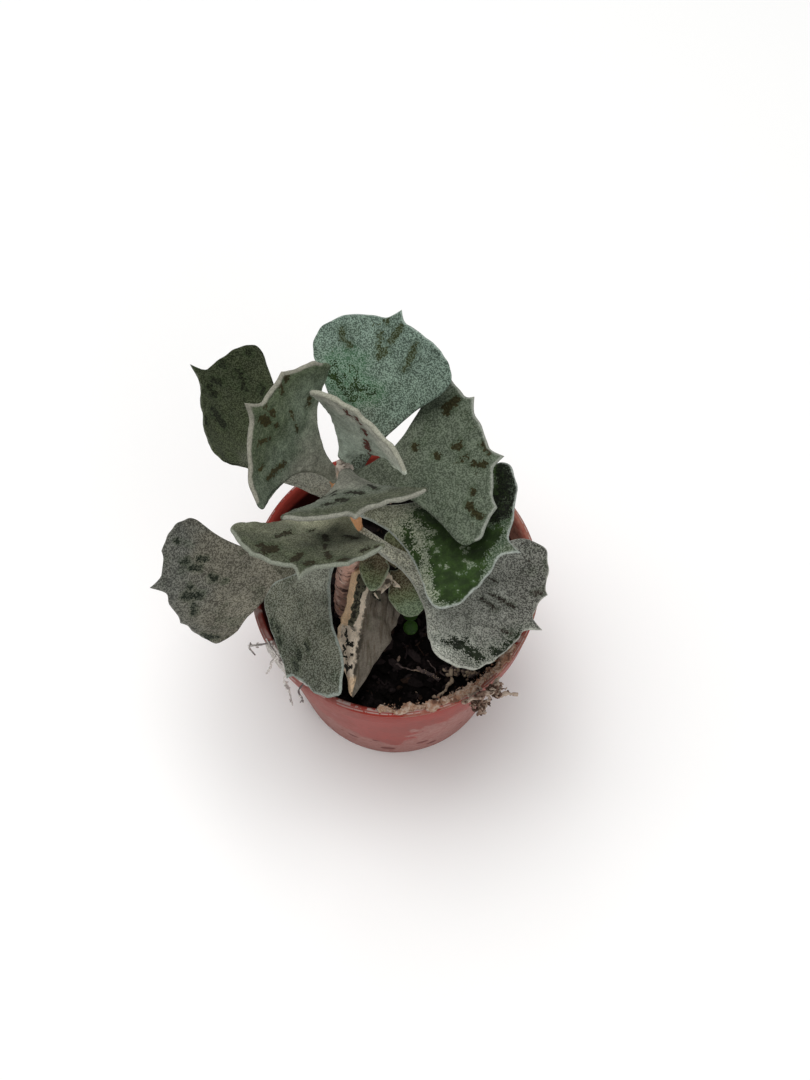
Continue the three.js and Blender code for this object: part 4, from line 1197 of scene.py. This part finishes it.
def seedlingMaterial():
    # fresh green, darker in small cells
    material, tree = newMaterial("seedling", {"Specular IOR Level": 0.15})
    place = objectPlace(tree)
    cells = noise(place, 0.35, 2, 1)
    leafGreen = blend(fade(cells, 0.4, 0.65), seedling["green"], seedling["dark"])
    stalkTop = seedling["height"] - 0.6
    colour = blend(fade(axes(place)[2], stalkTop - 0.6, stalkTop), seedling["stalkGreen"], leafGreen)
    return finished(material, colour, 0.45, cells, 0.04)


addPiece("seedling_leaves", seedlingShape(), seedlingMaterial(), "seedling")
print("seedling made")


crust = dict(
    arc=(-97, -31), radius=26.1, halfWidth=0.72, halfHeight=0.32, rows=420, sides=30, crumbs=620, fine=420,
    lieOn=48.2, fineFrom=25, colours=["#6f5042", "#967059", "#a58470", "#b9a494", "#9d7a62", "#ab9280"],
)


def crustBand():
    # rough band along the lip: a flattened ring section whose size and surface are uneven, thickest in the
    # middle of its arc
    t = np.linspace(0, 1, crust["rows"])
    azimuth = np.interp(t, (0, 1), crust["arc"])[:, None]
    turn = fullTurn * np.arange(crust["sides"]) / crust["sides"]
    line = around(azimuth[:, 0], crust["radius"], pot["height"])
    size = (0.55 + 0.45 * np.sin(np.pi * t)) * (1 + 0.3 * ripples(line, 2.5, 60))
    size = size.clip(0.3) * np.sqrt(np.minimum(1, np.minimum(t, 1 - t) / 0.01 + 0.01))
    out = crust["halfWidth"] * size[:, None] * np.cos(turn)
    rise = crust["halfHeight"] * size[:, None] * np.sin(turn)
    radius = crust["radius"] - 0.25 * ripples(line, 4, 61)[:, None] + out
    rings = around(azimuth, radius, crust["lieOn"] + 0.1 + rise)
    flat = rings.reshape(-1, 3)
    rough = 0.1 * ripples(flat, 1.6, 62) + 0.07 * ripples(flat, 0.7, 63) + 0.04 * ripples(flat, 0.35, 64)
    rings = rings + rough.reshape(*radius.shape, 1) * around(azimuth, np.cos(turn), np.sin(turn))
    shape = closedRings(rings, rings[[0, -1]].mean(1), True)
    shape["values"]["shade"] = 0.5 + 0.16 * ripples(shape["points"], 3, 65)
    return shape


def crustCrumbs():
    # crumbs on the band and on its edges, and finer ones strewn down the inside of the wall
    draw = rng(7)
    (start, end), count, few, level = [crust[key] for key in ("arc", "crumbs", "fine", "lieOn")]
    azimuth = start + draw.beta(1.9, 1.4, count) * (end - start)
    size = 0.07 + 0.24 * draw.random(count) ** 3
    radius = crust["radius"] - 0.1 + 0.55 * draw.normal(size=count).clip(-1.8, 1.3)
    inside = np.clip(crust["radius"] - 0.2 - radius, 0, None)
    height = level + 0.5 * size + 0.25 * draw.random(count) * (inside < 0.3) - 0.6 * inside
    sizes = size[:, None] * draw.uniform(0.6, 1.2, (count, 3))
    heap = lumps(around(azimuth, radius, height), sizes, draw, 0.22)
    height = level - 3.2 * draw.random(few) ** 1.6
    wall = np.minimum(crust["radius"], bodyRadius(collarFoot, pot["wall"]) + 0.23 * (height - collarFoot))
    strewn = around(draw.uniform(start + crust["fineFrom"], end, few), wall, height)
    return joined([heap, lumps(strewn, draw.uniform(0.08, 0.28, (few, 3)), draw, 0.2)])


crustMaterial = crumbMaterial("rim_crust", crust["colours"])
addPiece("rim_crust_band", crustBand(), crustMaterial, "rim_crust")
addPiece("rim_crust_crumbs", crustCrumbs(), crustMaterial, creases=30)
print("crust made")


# Root threads over the lip: routes of (azimuth, radius, height), and a film of flat bits with its azimuths,
# its heights and the number of bits
rootThreads = dict(
    left=dict(
        routes=[
            [
                (-152, 27.1, 48.9), (-146, 27.1, 48.9), (-139, 27.2, 48.9), (-132, 27.1, 48.9),
                (-126, 27.1, 48.9),
            ],
            [(-143, 27.1, 48.9), (-143, 28.6, 48.2), (-144, 28.7, 45), (-145, 29.6, 41.5)],
            [(-136, 27.2, 48.9), (-135, 28.8, 48), (-133, 29, 44), (-131, 29.6, 38.5)],
            [(-150, 27.2, 48.9), (-151, 29.2, 49.4), (-153, 30.5, 47.5), (-151, 30, 45)],
            [(-128, 27.1, 48.9), (-128, 28.7, 48), (-127, 28.6, 44), (-128, 28.8, 41.5)],
        ],
        copies=14, spread=0.12, curl=0.16, thickness=(0.07, 0.14), core=0.16, crumbs=16, seed=31,
        film=((-151, -138), (45.2, 49), 240), colours=["#6b6260", "#a39b97", "#cfc8c3", "#dcd6d0"],
    ),
    right=dict(
        routes=[
            [(-64, 28, 48.9), (-58, 28.4, 49), (-52, 28.4, 49), (-46, 28, 48.9)],
            [(-56, 28.4, 49), (-52, 29.4, 48.8), (-48.5, 30.8, 48), (-45.8, 32.6, 48.3)],
            [(-56, 28.4, 49), (-57, 29.4, 48.2), (-57.5, 30, 46.2), (-57, 30.3, 44)],
            [(-53, 28.4, 49), (-51, 29, 49.6), (-49.3, 29.3, 50), (-48, 29.4, 50.4)],
            [(-60, 28.3, 49), (-59, 29.2, 47.8), (-57, 29.6, 46.6), (-54, 30, 46.5)],
        ],
        copies=34, spread=0.35, curl=0.3, thickness=(0.12, 0.38), core=0.34, crumbs=300, seed=32,
        film=((-60, -54), (47.6, 49), 40), colours=["#4b382e", "#6e5548", "#8f7566", "#bcaa9a"],
    ),
)


def rootShape(roots):
    # each thread follows a part of one route, shifted by spread and curled by three sine waves
    draw = rng(roots["seed"])
    count, steps, fineSteps = roots["copies"], 16, 60
    routes = np.array([spaced(around(*np.array(route).T), fineSteps) for route in roots["routes"]])
    row = draw.integers(0, len(routes), count)[:, None]
    t = np.linspace(0, 1, steps)
    begin = draw.uniform(0, 0.45, (count, 1))
    reach = draw.uniform(0.35, 0.55, (count, 1))
    index = ((begin + reach * t) * (fineSteps - 1)).clip(0, fineSteps - 1)
    low = np.minimum(index.astype(int), fineSteps - 2)
    share = (index - low)[..., None]
    paths = routes[row, low] * (1 - share) + routes[row, low + 1] * share
    paths = paths + roots["spread"] * draw.normal(size=(count, 1, 3))
    for wave in (1, 2, 3):
        phase = draw.uniform(0, fullTurn, (count, 1, 3))
        size = roots["curl"] / wave * draw.normal(size=(count, 1, 3))
        paths = paths + size * np.sin(fullTurn * wave * t[:, None] + phase)
    thickness = draw.uniform(*roots["thickness"], (count, 1)) * (1 - 0.6 * np.abs(2 * t - 1) ** 3)
    crumbs = roots["crumbs"]
    where = draw.integers(0, count, crumbs), draw.integers(0, steps, crumbs)
    places = paths[where] + 0.15 * draw.normal(size=(crumbs, 3))
    bits = lumps(places, draw.uniform(0.08, 0.36, (crumbs, 3)), draw)
    knobbly = roots["core"] * (1 + 0.3 * ripples(routes.reshape(-1, 3), 1.2, roots["seed"]))
    core = tubes(routes, knobbly.reshape(routes.shape[:2]).clip(0.05), 7)
    (first, last), (lowest, highest), patches = roots["film"]
    height = draw.uniform(lowest, highest, patches)
    reach = pot["rimRadius"] - 0.15 - draw.random(patches) * (height > pot["height"] + 0.2)
    centres = around(draw.uniform(first, last, patches), reach, height.clip(0, pot["height"] + 0.3))
    film = lumps(centres, draw.uniform(0.14, 0.42, (patches, 3)), draw, 0.1)
    film["values"]["shade"] = 0.85 + 0.15 * film["values"]["shade"]
    return joined([tubes(paths, thickness, 4), bits, core, film])


for side, slotName in (("left", "roots_pale"), ("right", "roots_brown")):
    roots = rootThreads[side]
    material = crumbMaterial("roots_" + side, roots["colours"])
    addPiece(f"roots_{side}_threads", rootShape(roots), material, "roots_" + side)
print("roots made")


# A light is its name, place and aim in metres, width and power.
studio = dict(
    camera=(1.94, -115.3, 333.6), tilt=23.3, lens=54.07, sensor=36,
    sky=0.38, floor="#fbfbfa", floorReach=900,
    lights=[
        ("key", (-0.12, 0.1, 0.8), (0, 0, 0.05), 0.5, 4.6),
        ("fill", (0.35, -0.6, 0.5), (0, 0, 0.05), 0.6, 1.5),
    ],
)


def makeStudio():
    # pale floor and sky, soft square lights and the photograph's camera
    corners = [[a, b, 0] for a, b in ((-1, -1), (1, -1), (1, 1), (-1, 1))]
    mesh = meshOf("floor", shapeOf(np.array(corners) * studio["floorReach"], [[0, 1, 2, 3]]))
    mesh.materials.append(newMaterial("floor", {"Base Color": studio["floor"], "Roughness": 0.9})[0])
    plane = addObject("floor", mesh)
    world = bpy.data.worlds.new("sky")
    world.use_nodes = True
    background = world.node_tree.nodes["Background"].inputs
    feed(background["Color"], "#ffffff")
    feed(background["Strength"], studio["sky"])
    bpy.context.scene.world = world
    for name, place, aim, size, power in studio["lights"]:
        light = bpy.data.lights.new(name, "AREA")
        light.size = size
        light.energy = power
        lamp = addObject(name, light)
        lamp.location = place
        lamp.rotation_euler = (Vector(aim) - Vector(place)).to_track_quat("-Z", "Y").to_euler()
    camera = bpy.data.cameras.new("camera")
    camera.lens = studio["lens"]
    camera.sensor_width = studio["sensor"]
    camera.clip_start = 0.01
    view = addObject("camera", camera)
    view.location = [metre * value for value in studio["camera"]]
    view.rotation_euler = (math.radians(studio["tilt"]), 0, 0)
    bpy.context.scene.camera = view
    bpy.context.scene.view_settings.view_transform = "Standard"


makeStudio()
print("studio made")
